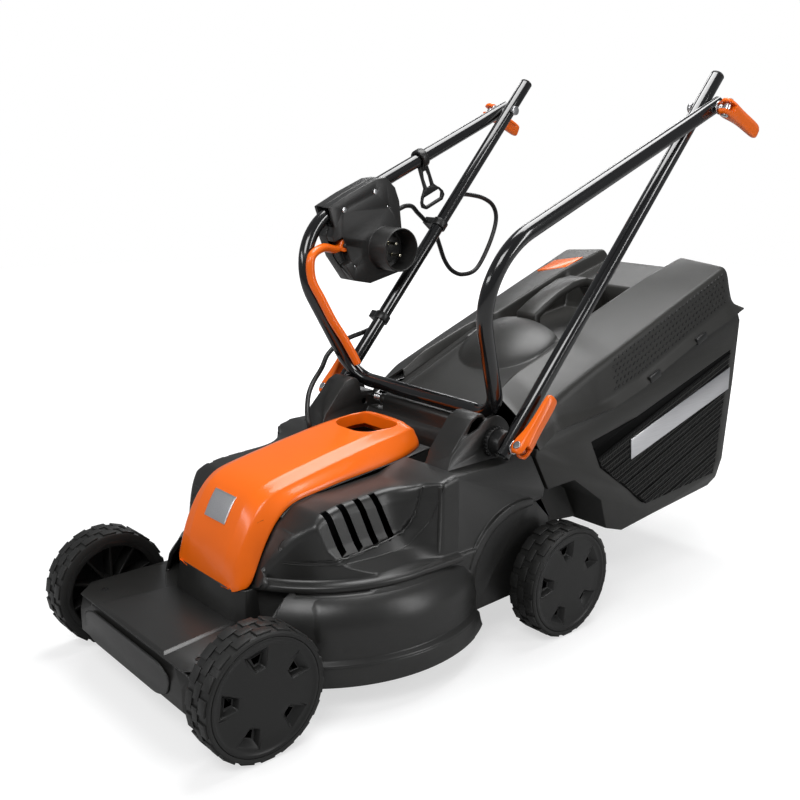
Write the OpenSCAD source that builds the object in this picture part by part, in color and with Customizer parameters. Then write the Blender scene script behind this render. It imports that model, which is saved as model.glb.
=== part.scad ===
// Push lawn mower with a rear grass catcher and a two-part folding handle.
//
// Millimetres. +X is the mower's left side, -Y its front and +Z up. The modules measure along Y
// from the front axle and along Z from the ground; in_frame() then moves them so that the origin
// lies on the ground under the middle of the whole mower.

/* [Wheels] */
// Distance between the front axle and the rear axle
wheelbase = 461; // [455:1:467]
// Outer diameter of the four wheels
wheel_d = 150; // [146:1:152]
// Width of a wheel
wheel_w = 42; // [36:1:44]
// Distance across the outer faces of the front wheels
front_track = 398; // [396:1:410]
// Distance across the outer faces of the rear wheels
rear_track = 432; // [430:1:444]
// Diameter of the two axles
axle_d = 12; // [8:1:14]
// Radial thickness of the tread band
tread_t = 12; // [8:1:16]
// Openings in each wheel disc
disc_holes = 5; // [3:1:7]

/* [Deck] */
// Outer radius of the skirt round the blade
skirt_r = 210; // [206:1:212]
// Height of the skirt's lower edge above the ground
skirt_z = 36; // [30:1:44]
// Distance of the blade's shaft behind the front axle
shaft_y = 222; // [220:1:228]
// Wall thickness of the deck moulding
deck_wall = 4; // [3:0.5:5]
// Height of the front plate's top
plate_z = 95; // [90:1:98]
// Reach of the bumper ahead of the front axle
nose = 60; // [52:1:66]
// Width of the front plate
plate_w = 300; // [280:1:304]
// Height of the ledge where the bowl meets the body
belt_z = 145; // [140:1:150]
// Height of the vented body's top
body_z = 232; // [226:1:234]
// Vent slots on each side of the body
vents = 4; // [2:1:5]

/* [Motor and blade] */
// Diameter of the motor's can
motor_d = 92; // [80:1:100]
// Length of the motor's can
motor_h = 78; // [60:1:80]
// Diameter of the rotor's shaft
shaft_d = 12; // [10:1:15]
// Length of the cutting blade
blade_len = 380; // [340:2:388]
// Width of the cutting blade
blade_w = 46; // [36:1:56]
// Thickness of the cutting blade
blade_t = 3; // [2:0.5:4]
// Height of the blade above the ground
blade_z = 64; // [58:1:70]

/* [Motor cover] */
// Wall thickness of the motor cover
cover_wall = 3; // [2:0.5:4]
// Width of the motor cover at its lower edge
cover_w = 150; // [144:1:156]
// Gap between the cover and the deck under it
cover_gap = 0.3; // [0.1:0.1:0.8]

/* [Rear flap] */
// Height of the flap's hinge above the ground
hinge_z = 276; // [274:1:278]
// Distance of the flap's hinge behind the front axle
hinge_y = 392; // [390:1:394]
// Diameter of the hinge rod
hinge_d = 6; // [4:0.5:8]
// Width of the flap
flap_w = 172; // [160:1:178]
// Thickness of the flap
flap_t = 4; // [3:0.5:5]
// Slope of the flap at rest, in degrees
flap_slope = 22.8; // [22:0.1:23.5]

/* [Grass catcher] */
// Width of the catcher over its rim
catcher_w = 350; // [340:1:352]
// Wall thickness of the catcher
catcher_wall = 2.5; // [2:0.5:3.5]
// Distance of the catcher's rear lip behind the front axle
catcher_rear = 897; // [893:1:905]
// Thickness of the mesh panels
mesh_t = 2; // [1:0.5:3]
// Ribs on each mesh panel
mesh_ribs = 14; // [6:1:18]
// Width of the carry handle
carry_w = 36; // [28:1:44]

/* [Handle] */
// Diameter of the lower tubes
strut_d = 19; // [18:0.5:20]
// Wall thickness of all the tubes
tube_wall = 1.5; // [1:0.25:2]
// Distance between the axes of the lower tubes
strut_span = 353; // [351:1:356]
// Distance of the lower bolts behind the front axle
foot_y = 376; // [374:1:378]
// Height of the lower bolts
foot_z = 270; // [268:1:272]
// Distance of the upper bolts behind the front axle
elbow_y = 731; // [725:1:740]
// Height of the upper bolts
elbow_z = 675.5; // [670:0.5:682]
// Length of the lower tubes above the upper bolts
strut_over = 55; // [30:1:60]
// Diameter of the upper tube
grip_d = 20; // [18:0.5:21]
// Distance between the axes of the upper tube's two ends
grip_span = 394; // [393:0.5:398]
// Diameter of the through bolts
bolt_d = 8; // [6:0.5:9]
// Length of each cam lever from its barrel to its tip
cam_len = 78; // [60:1:84]
// Running clearance round every pin and bolt that something turns on
run_gap = 0.05; // [0.02:0.01:0.1]

/* [Switch] */
// Thickness of the switch box
box_t = 36; // [32:1:40]
// Outer radius of the plug collar
collar_r = 32; // [28:1:34]
// Height of the plug collar above the box
collar_h = 38; // [28:1:44]
// Diameter of the two plug pins
pin_d = 4.8; // [4:0.2:5]
// Distance between the two plug pins
pin_pitch = 19; // [17:0.5:21]

/* [Cable] */
// Diameter of the power cable
cable_d = 7; // [6:0.5:8]

/* [Hidden] */
$fn = 64;

wheel_r = wheel_d / 2;
// Room between the front plate and each front wheel, and half the distance across each pair of wheels
wheel_gap = 6;
front_half = max(front_track / 2, plate_w / 2 + wheel_gap + wheel_w);
rear_half = rear_track / 2;
mid_y = (catcher_rear - wheel_r) / 2;
axle_r = axle_d / 2;
rim_r = wheel_r - tread_t;
rim_t = 7;
boss_r = 14;
axle_end = 9;
lean = atan2(elbow_y - foot_y, elbow_z - foot_z);
strut_len = norm([elbow_y - foot_y, elbow_z - foot_z]);
strut_x = strut_span / 2;
strut_r = strut_d / 2;
grip_x = max(grip_span / 2, strut_x + strut_r + grip_d / 2 + 0.8);
grip_r = grip_d / 2;
bolt_r = bolt_d / 2;
skirt_top = skirt_z + 27;
floor_top = belt_z - 7;
floor_under = floor_top - deck_wall - 4;

// ---------------------------------------------------------------- helpers

module in_frame() translate([0, -mid_y, 0]) children();

module both_sides() {
    children();
    mirror([1, 0, 0]) children();
}

// An outline drawn in (y, z), pushed through from x0 to x1.
module across(x0, x1) translate([x0, 0, 0]) rotate([90, 0, 90]) linear_extrude(x1 - x0) children();

// An outline drawn in (x, z), pushed rearwards from y0 to y1.
module back(y0, y1) translate([0, y1, 0]) rotate([90, 0, 0]) linear_extrude(y1 - y0) children();

// An outline drawn in (x, y), pushed up from z0 to z1.
module up(z0, z1) translate([0, 0, z0]) linear_extrude(z1 - z0) children();

// A round bar along X.
module bar(x0, x1, r) translate([x0, 0, 0]) rotate([0, 90, 0]) cylinder(h = x1 - x0, r = r);

// A round tube or bush along X.
module bush(x0, x1, r, hole) difference() {
    bar(x0, x1, r);
    bar(x0 - 1, x1 + 1, hole);
}

module at(y, z) translate([0, y, z]) children();

function unit(v) = v / norm(v);

// Points along a path whose inner corners are rounded to the given radii.
function corner(a, b, c, r, n) = let (
    u = unit(a - b), v = unit(c - b), half = acos(u * v) / 2,
    centre = b + unit(u + v) * r / sin(half),
    start = b + u * r / tan(half), spoke = start - centre, turn = 180 - 2 * half)
    [for (i = [0:n]) centre + spoke * cos(turn * i / n) - u * r * sin(turn * i / n)];
function rounded(p, r, n) = concat([p[0]],
    [for (i = [1:len(p) - 2]) each corner(p[i - 1], p[i], p[i + 1], r[i - 1], n)], [p[len(p) - 1]]);

// A smooth curve through every point of a list, with n steps between neighbours.
function blend4(a, b, c, d, t) = 0.5 * (2 * b + (c - a) * t + (2 * a - 5 * b + 4 * c - d) * t * t
    + (3 * b - a - 3 * c + d) * t * t * t);
function smooth(p, n) = let (m = len(p) - 1) concat([for (i = [0:m - 1], k = [0:n - 1])
    blend4(p[max(i - 1, 0)], p[i], p[i + 1], p[min(i + 2, m)], k / n)], [p[m]]);

function tangents(p) = [for (i = [0:len(p) - 1]) unit(p[min(i + 1, len(p) - 1)] - p[max(i - 1, 0)])];
function sides_of(t, i, last, done) = i == len(t) ? done
    : let (m = unit(last - (last * t[i]) * t[i])) sides_of(t, i + 1, m, concat(done, [m]));

// A closed skin over rings that all have the same number of points. Each end is closed from the
// ring's first point, which has to see all the others.
module skin(rings) {
    n = len(rings[0]);
    last = (len(rings) - 1) * n;
    quads = [for (i = [0:len(rings) - 2], k = [0:n - 1]) let (a = i * n + k, b = i * n + (k + 1) % n)
        each [[a, a + n, b + n], [a, b + n, b]]];
    polyhedron(concat([for (r = rings) each r]),
        concat([[for (k = [0:n - 1]) k]], quads, [[for (k = [n:-1:1]) last + k % n]]));
}

// A bar of round or oval section that follows a path; flat squeezes it across its first side.
module sweep(path, r, sides = 8, side = [1, 0, 0], flat = 1) {
    t = tangents(path);
    first = unit(side - (side * t[0]) * t[0]);
    u = sides_of(t, 0, first, []);
    skin([for (i = [0:len(path) - 1]) let (w = cross(t[i], u[i]))
        [for (k = [0:sides - 1]) path[i] + r * (flat * cos(360 * k / sides) * u[i] + sin(360 * k / sides) * w)]]);
}

// ---------------------------------------------------------------- wheels and axles

// The origin is on the axle, on the wheel's outer face, and +X points out of the mower.
module tread() color([0.07, 0.07, 0.07]) rotate([0, -90, 0]) rotate_extrude($fn = 96)
    polygon([[rim_r, 0], [wheel_r - 4, 0], [wheel_r, 3], [wheel_r, wheel_w - 3], [wheel_r - 4, wheel_w],
        [rim_r, wheel_w]]);

module wheel() color([0.1, 0.1, 0.1]) rotate([0, -90, 0]) difference() {
    union() {
        rotate_extrude($fn = 96) polygon([[boss_r - 2, 14], [boss_r, 12], [rim_r - rim_t, 12], [rim_r - rim_t, 4],
            [rim_r, 4], [rim_r, wheel_w], [rim_r - rim_t, wheel_w], [rim_r - rim_t, 16], [boss_r - 2, 16]]);
        translate([0, 0, 12]) cylinder(h = wheel_w - 11, r = boss_r);
        for (k = [0:9]) rotate(36 * k) translate([boss_r - 2, -1.5, 15]) cube([rim_r - boss_r - rim_t + 4, 3, wheel_w - 20]);
    }
    translate([0, 0, -1]) cylinder(h = wheel_w + 9, r = axle_r + run_gap);
}

module disc() color([0.12, 0.12, 0.12]) rotate([0, -90, 0]) difference() {
    union() {
        translate([0, 0, 1.5]) cylinder(h = 2.5, r = rim_r, $fn = 96);
        translate([0, 0, 0.5]) difference() {
            cylinder(h = 2, r = rim_r, $fn = 96);
            translate([0, 0, -1]) cylinder(h = 4, r = rim_r - 3);
        }
    }
    for (k = [0:disc_holes - 1]) rotate(360 * k / disc_holes) up(-1, 6)
        polygon([[rim_r - 24, -6], [rim_r - 9, -12], [rim_r - 9, 12], [rim_r - 24, 6]]);
}

module wheel_place(front, left) {
    y = front ? 0 : wheelbase;
    x = front ? front_half : rear_half;
    in_frame() mirror([left ? 0 : 1, 0, 0]) translate([x, y, wheel_r]) children();
}

module axle(y, half) color("silver") in_frame() at(y, wheel_r) bar(-half + axle_end, half - axle_end, axle_r);

module axle_nuts() color("silver") for (front = [true, false], left = [true, false])
    wheel_place(front, left) rotate([0, -90, 0]) difference() {
        translate([0, 0, axle_end - 1]) cylinder(h = 2.5, r = 9.5);
        translate([0, 0, axle_end]) cylinder(h = 9, r = axle_r);
    }

// ---------------------------------------------------------------- deck

belt_r = skirt_r - 36;

module bowl(t) rotate_extrude($fn = 128) polygon([[0, skirt_z - t * 3], [skirt_r - t, skirt_z - t * 3],
    [skirt_r - t, skirt_top - t / 2], [skirt_r - 6 - t, skirt_top + 4 - t], [skirt_r - 3 - t, skirt_top + 27],
    [skirt_r - 9 - t, skirt_top + 54 - t], [skirt_r - 22 - t, belt_z - 10 - t * 1.8],
    [belt_r - t, (t > 0 ? floor_under : belt_z)], [0, (t > 0 ? floor_under : belt_z)]]);

// The front plate between the front wheels, with its rounded bumper.
module front_plate(t) intersection() {
    across(-plate_w / 2 + t, plate_w / 2 - t) polygon([[-nose + 10 + t, skirt_z - t * 3], [-nose + t, skirt_z + 12],
        [-nose + t, plate_z - 20], [-nose + 7 + t, plate_z - 6 - t], [-nose + 20 + t, plate_z - t],
        [shaft_y - 100, plate_z - t], [shaft_y - 100, skirt_z - t * 3]]);
    up(0, 200) polygon([[-plate_w / 2 + t, shaft_y], [-plate_w / 2 + t, -nose + 26], [-plate_w / 2 + 24, -nose + t],
        [plate_w / 2 - 24, -nose + t], [plate_w / 2 - t, -nose + 26], [plate_w / 2 - t, shaft_y]]);
}

// Half the body's section, from the ledge up over the vented side to the flat top.
function body_half(t) = [[belt_r + 2 - t, floor_top - 40], [belt_r + 2 - t, belt_z - t], [belt_r - 8 - t, belt_z + 3 - t],
    [150 - t, belt_z + 18 - t], [139 - t, belt_z + 42 - t], [131 - t, body_z - 12 - t], [124 - t, body_z - t]];
function mirrored(h) = concat(h, [for (i = [len(h) - 1:-1:0]) [-h[i][0], h[i][1]]]);

// The body: what its side view, its section and its plan have in common.
module body(t) intersection() {
    across(-200, 200) polygon([[45 + t, floor_top - 40], [45 + t, plate_z - t], [62 + t, belt_z - 10 - t],
        [78 + t, belt_z + 27 - t], [98 + t, body_z - 27 - t], [122 + t, body_z - 8 - t], [150, body_z - 3 - t], [270, body_z - t],
        [hinge_y - 14 - t, body_z - t], [hinge_y - 14 - t, floor_top - 40]]);
    back(0, 460) polygon(mirrored(body_half(t)));
    translate([0, shaft_y, 0]) union() {
        cylinder(h = 300, r = belt_r + 2 - t, $fn = 128);
        translate([-belt_r - 2 + t, 0, 0]) cube([2 * (belt_r + 2 - t), 200, 300]);
    }
}

arch_y = wheelbase - 56;
arch_z = 95;
arch_r = 84;
well_x = 160;
panel_x = 172;

// The two rear shoulders: side panels round the rear wheels.
module shoulder(t) both_sides() across(104 + t, panel_x - t)
    polygon([[270 + t, skirt_z + 40 - t * 9], [264 + t, belt_z], [268 + t, 238 - t], [290 + t, 246 - t], [424 - t, 246 - t],
        [wheelbase - 9 - t, 196], [wheelbase - 12 - t, 183],
        [wheelbase + 13 - t, 152], [wheelbase + 17 - t, 100], [wheelbase + 17 - t, 55 - t * 3], [330, skirt_z + 12 - t * 4]]);

// Lugs between the flap's springs and the lower tubes' toothed discs.
lug_in = flap_w / 2 + 22;
lug_out = strut_x - 30.5;

module lug() both_sides() {
    across(lug_in, lug_out) polygon([[292, 230], [306, 262], [328, 288], [340, 302], [352, 307], [362, 306], [367, 300], [370, 284],
        [392, 284], [404, 270], [414, 230]]);
    across(lug_out - 1, disc_x) polygon(concat([[292, 230], [306, 262], [326, 282]],
        [for (a = [140:-10:-10]) [foot_y + 32 * cos(a), foot_z + 32 * sin(a)]], [[418, 230]]));
}

module lug_hollow() both_sides() across(lug_in + 4, lug_out) polygon([[300, 200], [312, 258], [333, 282], [344, 298], [353, 303],
    [361, 302], [364, 296], [366, 280], [390, 280], [400, 268], [410, 200]]);

module vent_slots() both_sides() for (k = [0:vents - 1]) translate([0, 128 + 24 * k, 0])
    across(100, 160) polygon([[0, body_z - 14], [8, body_z - 14], [20, body_z - 52], [12, body_z - 56]]);

tunnel_w = 190;

// The way of the cut grass, from the blade chamber up and back into the catcher.
module grass_tunnel(t, past = 0) across(-tunnel_w / 2 - t, tunnel_w / 2 + t)
    polygon([[shaft_y + 120, skirt_z + 30 - t], [shaft_y + 120, 132 + t / 2], [376, 196 + t], [428 + past, 226 + t],
        [456 + past, 186], [456 + past, 112 - t], [430, 104 - t], [400, 66 - t]]);

module deck_solid() {
    translate([0, shaft_y, 0]) bowl(0);
    front_plate(0);
    body(0);
    shoulder(0);
    lug();
    grass_tunnel(deck_wall);
    // plinth under the cover's front edge
    up(plate_z - 1, plate_z + 30) polygon([[-70, 96], [-64, 68], [-10, 58], [10, 58], [64, 68], [70, 96]]);
    // seat round the cover's opening
    across(-75, 75) polygon([[104, body_z - 20], [122, 226], each [for (p = seat_line) if (p[0] > 122 && p[0] < 338) p],
        [340, 251], [344, body_z - 20]]);
    // arch lips in front of and over the rear wheels
    both_sides() at(arch_y, arch_z) intersection() {
        bush(well_x, panel_x + 6, arch_r + 12, arch_r);
        across(well_x, panel_x + 7) polygon([[-100, -42], [-100, 100], [20, 100], [20, 70], [0, 0], [-60, -42]]);
    }
    // hinge block of the rear flap and the wall under it
    across(-75, 75) polygon([[hinge_y - 10, 190], [hinge_y - 9, hinge_z], [hinge_y + 9, hinge_z], [hinge_y + 9, 190]]);
    at(hinge_y, hinge_z) bar(-75, 75, 9);
    across(-lug_in - 1, lug_in + 1) polygon([[hinge_y - 18, 190], [hinge_y - 18, 246], [hinge_y - 9, 262], [hinge_y + 9, 262],
        [hinge_y + 9, 190]]);
    // axle bosses
    both_sides() at(0, wheel_r) bar(plate_w / 2 - 10, front_half - wheel_w - 1.8, boss_r);
    both_sides() at(wheelbase, wheel_r) bar(well_x - 8, rear_half - wheel_w - 1.8, boss_r);
}

module deck_hollows() {
    translate([0, shaft_y, 0]) bowl(deck_wall);
    front_plate(deck_wall);
    // motor bay above the blade chamber's roof
    intersection() {
        body(deck_wall);
        across(-200, 200) polygon([[0, floor_top], [0, 300], [hinge_y - 28, 300], [hinge_y - 28, 200], [330, floor_top]]);
    }
    // opening that the cover closes
    up(floor_top, 300) polygon([[-46, 96], [-46, 80], [46, 80], [46, 96], [48, 250], [-48, 250]]);
    across(-68, 68) polygon([[130, body_z - 20], [130, 221], [190, 231], [250, 236], [250, body_z - 20]]);
    // ledge that the cover's front edge stands on
    intersection() {
        across(-76, 76) polygon([[30, 200], [30, 131], [44, 131], [46, 133], [51, 135.9], [62, 140.9], [64, 144.5], [65, 200]]);
        up(100, 200) polygon([[-75.4, 65], [-75.4, 61.5], [-70.5, 50.5], [-65.5, 45.5], [-56.5, 43.5], [56.5, 43.5],
            [65.5, 45.5], [70.5, 50.5], [75.4, 61.5], [75.4, 65]]);
    }
    // room for the fingers under the cover's carry loop
    up(238, 300) polygon([[-40, 272], [-44, 300], [-38, 326], [38, 326], [44, 300], [40, 272], [20, 262], [-20, 262]]);
    difference() {
        shoulder(deck_wall);
        across(-150, 150) polygon([[250, 0], [250, 260], [330, 260], [330, 0]]);
        grass_tunnel(deck_wall);
    }
    // rear wheel wells
    both_sides() at(arch_y, arch_z) bar(well_x, 200, arch_r);
    both_sides() across(well_x, 200) polygon([[arch_y, 20], [arch_y, arch_z + arch_r],
        [wheelbase - 12, arch_z + arch_r + 3], [wheelbase + 29, 152], [wheelbase + 29, 20]]);
    lug_hollow();
    grass_tunnel(0, 20);
    vent_slots();
    // ear hole on each front slope of the body
    both_sides() at(84, 192) across(0, 200) scale([0.7, 1, 1]) circle(7);
}

module deck_fittings() {
    // front axle ribs and the bosses of the rear axle
    both_sides() at(0, wheel_r) across(100, 104) polygon([[-nose + 5, -30], [-nose + 5, plate_z - wheel_r - 2],
        [14, plate_z - wheel_r - 2], [14, -30]]);
    both_sides() at(0, wheel_r) bar(plate_w / 2 - 12, front_half - wheel_w - 1.8, boss_r);
    both_sides() at(wheelbase, wheel_r) bar(well_x - 12, rear_half - wheel_w - 1.8, boss_r);
    // skin of the wheel wells
    both_sides() intersection() {
        across(well_x - deck_wall, well_x) polygon([[338, skirt_z + 16], [338, 80], [300, 80],
            [300, 200], [wheelbase - 15, 200], [wheelbase - 15, arch_z + arch_r],
            [wheelbase + 11, 152], [wheelbase + 15, 100], [wheelbase + 15, 56]]);
        shoulder(0);
    }
}

module deck_housing() color([0.2, 0.2, 0.19]) in_frame() difference() {
    union() {
        difference() {
            deck_solid();
            deck_hollows();
        }
        deck_fittings();
    }
    at(0, wheel_r) bar(-250, 250, axle_r);
    at(wheelbase, wheel_r) bar(-250, 250, axle_r);
    at(hinge_y, hinge_z) bar(-lug_in - 2, lug_in + 2, hinge_d / 2);
    at(foot_y, foot_z) bar(-200, 200, bolt_r);
    translate([0, shaft_y, 0]) cylinder(h = 300, r = bearing_r);
    translate([0, shaft_y, 0]) for (k = [0:3]) rotate(45 + 90 * k) translate([motor_d / 2 - 8, 0, 0]) cylinder(h = 200, r = 3);
    both_sides() translate([plate_w / 2 - 35, -nose + 29, plate_z - 20]) cylinder(h = 30, r = 4);
    both_sides() for (b = cover_bolts) translate([b[0], b[1], 200]) cylinder(h = 60, r = 2);
    translate([-110, 280, 200]) cylinder(h = 60, r = cable_r + 0.6);
}

// ---------------------------------------------------------------- motor and blade

bearing_r = shaft_d / 2 + 8;
motor_z = floor_top;
blade_reach = blade_len / 2;

module at_shaft() in_frame() translate([0, shaft_y, 0]) children();

module motor_can() color([0.45, 0.45, 0.47]) at_shaft() difference() {
    union() {
        translate([0, 0, motor_z]) cylinder(h = motor_h - 10, r = motor_d / 2);
        translate([0, 0, motor_z + motor_h - 10]) cylinder(h = 10, r1 = motor_d / 2, r2 = motor_d / 2 - 10, $fn = 64);
        translate([0, 0, floor_under]) cylinder(h = floor_top - floor_under + 1, r = bearing_r);
    }
    translate([0, 0, 0]) cylinder(h = 400, r = shaft_d / 2 + run_gap);
    translate([0, 0, motor_z + 5]) cylinder(h = motor_h - 14, r = motor_d / 2 - 14);
    for (k = [0:3]) rotate(45 + 90 * k) translate([motor_d / 2 - 8, 0, 0]) cylinder(h = motor_z + 10, r = 3);
}

module motor_screws() color("silver") at_shaft() for (k = [0:3]) rotate(45 + 90 * k) translate([motor_d / 2 - 8, 0, 0]) {
    translate([0, 0, floor_under - 4]) cylinder(h = motor_z - floor_under + 13, r = 3);
    translate([0, 0, floor_under - 4]) cylinder(h = 4, r = 5.5);
}

module rotor_shaft() color("silver") at_shaft() {
    translate([0, 0, blade_z + blade_t]) cylinder(h = motor_z + motor_h + 14 - blade_z - blade_t, r = shaft_d / 2);
    translate([0, 0, motor_z + 12]) cylinder(h = motor_h - 28, r = motor_d / 2 - 17);
}

module cooling_fan() color([0.3, 0.3, 0.3]) at_shaft() translate([0, 0, motor_z + motor_h + 2]) difference() {
    union() {
        cylinder(h = 2, r = motor_d / 2 - 8);
        cylinder(h = 11, r = shaft_d / 2 + 4);
        for (k = [0:8]) rotate(40 * k) translate([shaft_d / 2 + 2, -1, 1]) cube([motor_d / 2 - shaft_d / 2 - 12, 2, 6]);
    }
    translate([0, 0, -1]) cylinder(h = 20, r = shaft_d / 2);
}

module blade_holder() color([0.12, 0.12, 0.12]) at_shaft() difference() {
    union() {
        translate([0, 0, blade_z + blade_t]) cylinder(h = 8, r = 32);
        translate([0, 0, blade_z + blade_t]) cylinder(h = floor_under - 8 - blade_z - blade_t, r = shaft_d / 2 + 8);
        for (k = [0:5]) rotate(60 * k) translate([shaft_d / 2 + 4, -1.5, blade_z + blade_t + 7]) cube([24 - shaft_d / 2, 3, 14]);
    }
    translate([0, 0, blade_z - 1]) cylinder(h = 200, r = shaft_d / 2);
}

module cutting_blade() color([0.55, 0.56, 0.58]) at_shaft() difference() {
    union() {
        translate([-blade_reach + 40, -blade_w / 2, blade_z]) cube([blade_len - 80, blade_w, blade_t]);
        for (k = [0, 180]) rotate(k) back(-blade_w / 2, blade_w / 2) polygon([[blade_reach - 42, blade_z],
            [blade_reach - 22, blade_z], [blade_reach, blade_z + 4], [blade_reach, blade_z + blade_t + 4],
            [blade_reach - 22, blade_z + blade_t], [blade_reach - 42, blade_z + blade_t]]);
    }
    translate([0, 0, blade_z - 1]) cylinder(h = blade_t + 2, r = bolt_r);
}

module blade_bolt() color("silver") at_shaft() {
    translate([0, 0, blade_z - 7]) cylinder(h = 7, r = 9, $fn = 6);
    translate([0, 0, blade_z - 1]) cylinder(h = blade_t + 1, r = bolt_r);
}

// ---------------------------------------------------------------- motor cover

// Stations from the front edge to the rear: distance back, lower edge, crease, top and their half widths.
cover_rows = [
    [44, 131, 134, 137, 56, 50, 36], [46, 133, 148, 155, 65, 57, 41], [51, 136, 167, 175, 70, 60, 42],
    [62, 141, 192, 200, 75, 62, 44], [78, 176, 218, 228, 75, 62, 44], [98, 208, 236, 243, 75, 62, 44],
    [122, 226, 243, 250, 75, 62, 44], [190, 236, 256, 263, 75, 61, 43], [250, 241, 266, 273, 74, 60, 42],
    [300, 246, 272, 279, 71, 57, 38], [326, 250, 274, 280, 64, 52, 34], [338, 251, 266, 270, 54, 46, 30]];
// Line that the cover's lower edge follows, which is also the top of its seat on the deck.
seat_line = [for (r = cover_rows) [r[0], r[1]]];
cover_bolts = [[58, 150], [58, 245]];

// One ring of the cover, drawn in by t all round.
function cover_ring(r, t) = let (low = r[1] + cover_gap - (t > 0 ? 20 : 0), k = cover_w / 150)
    [for (p = [[-r[4] * k + t, low], [-r[4] * k + t, r[1] + 2], [-r[5] * k + t, r[2] - t], [-r[6] * k + t, r[3] - t],
        [r[6] * k - t, r[3] - t], [r[5] * k - t, r[2] - t], [r[4] * k - t, r[1] + 2], [r[4] * k - t, low]])
        [p[0], r[0], p[1]]];

module cover_shell() color([0.95, 0.4, 0.08]) in_frame() difference() {
    skin([for (r = cover_rows) cover_ring(r, 0)]);
    skin([for (i = [1:len(cover_rows) - 3]) let (r = cover_rows[i])
        cover_ring([r[0] + (i < 5 ? 3 : 0), r[1], r[2], r[3], r[4], r[5], r[6]], cover_wall)]);
    // the hand hole that leaves the carry loop across the rear
    up(200, 300) polygon([[-38, 268], [-44, 300], [-40, 318], [40, 318], [44, 300], [38, 268], [20, 258], [-20, 258]]);
    // seat of the badge plate
    cover_badge_place() translate([-19, -17, -1]) cube([38, 34, 5]);
}

// The cover with the bosses that its screws hold.
module motor_cover() {
    cover_shell();
    color([0.95, 0.4, 0.08]) in_frame() difference() {
        intersection() {
            both_sides() for (b = cover_bolts) translate([b[0], b[1], lookup(b[1], seat_line) + 1.5]) cylinder(h = 40, r = 5);
            skin([for (r = cover_rows) cover_ring(r, cover_wall - 1)]);
        }
        both_sides() for (b = cover_bolts) translate([b[0], b[1], lookup(b[1], seat_line) - 1]) cylinder(h = 11, r = 2);
    }
}

module cover_badge_place() translate([0, 61.5, 198.5]) rotate([62, 0, 0]) children();

module cover_badge() color([0.8, 0.8, 0.82]) in_frame() cover_badge_place() translate([-19, -17, -1]) cube([38, 34, 1.6]);

// Screws from inside the body, up through the seat into the cover's bosses.
module cover_screws() color("silver") in_frame() both_sides() for (b = cover_bolts)
    translate([b[0], b[1], lookup(b[1], seat_line) - 9.2]) {
        cylinder(h = 18, r = 2);
        cylinder(h = 3, r = 4);
    }

// ---------------------------------------------------------------- rear flap

function flap_top(y) = 283 + (hinge_z - 276) + tan(flap_slope) * (y - 400 - (hinge_y - 392));
flap_front = hinge_y + 11.5;
flap_back = hinge_y + 193;
hump_y = flap_back - 26;

module flap_plate(lift, h) {
    // the plate in its own slope
    across(-flap_w / 2, flap_w / 2) polygon([[flap_front, flap_top(flap_front) - flap_t + lift],
        [flap_front, flap_top(flap_front) + lift + h], [flap_back, flap_top(flap_back) + lift + h],
        [flap_back, flap_top(flap_back) - flap_t + lift]]);
}

module rear_flap() color([0.22, 0.22, 0.21]) in_frame() difference() {
    union() {
        intersection() {
            flap_plate(0, 0);
            up(200, 500) polygon([[-flap_w / 2, 300], [-flap_w / 2, flap_back - 14], [-flap_w / 2 + 12, flap_back],
                [flap_w / 2 - 12, flap_back], [flap_w / 2, flap_back - 14], [flap_w / 2, 300]]);
        }
        // raised side strips and the low panel between them
        for (s = [-1, 1]) intersection() {
            flap_plate(flap_t, -1);
            up(200, 500) polygon([[s * (flap_w / 2 - 1), 300], [s * (flap_w / 2 - 1), flap_back - 16], [s * (flap_w / 2 - 11), flap_back - 6],
                [s * (flap_w / 2 - 11), 300]]);
        }
        // rounded hump at the back that fingers lift
        intersection() {
            translate([0, hump_y, flap_top(hump_y)]) rotate([flap_slope, 0, 0]) rotate_extrude($fn = 96)
                polygon([for (a = [0:10:90]) [74 * cos(a), 24 * sin(a)], [0, -flap_t + 1], [74, -flap_t + 1]]);
            up(200, 500) translate([-100, 300]) square([200, flap_back - 300]);
        }
        // knuckles on the rod and the arms to the plate
        both_sides() {
            at(hinge_y, hinge_z) bar(75.5, flap_w / 2, 7);
            across(75.5, flap_w / 2) polygon([[hinge_y, hinge_z - 4], [hinge_y - 2, hinge_z + 5],
                [flap_front + 2, flap_top(flap_front + 2) - 1], [flap_front + 2, flap_top(flap_front + 2) - flap_t + 1]]);
        }
    }
    at(hinge_y, hinge_z) bar(-lug_in - 2, lug_in + 2, hinge_d / 2 + run_gap);
}

module flap_rod() color("silver") in_frame() at(hinge_y, hinge_z) bar(-lug_in - 1, lug_in + 1, hinge_d / 2);

// Each spring is a close coil, so its turns are one body of revolution.
module flap_springs() color([0.6, 0.6, 0.62]) in_frame() both_sides() at(hinge_y, hinge_z)
    translate([flap_w / 2 + 3.2, 0, 0]) rotate([0, 90, 0]) rotate_extrude($fn = 32)
        for (k = [0:4]) translate([hinge_d / 2 + 1.55, 2.6 * k]) circle(r = 1.5, $fn = 16);

// ---------------------------------------------------------------- grass catcher

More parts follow.
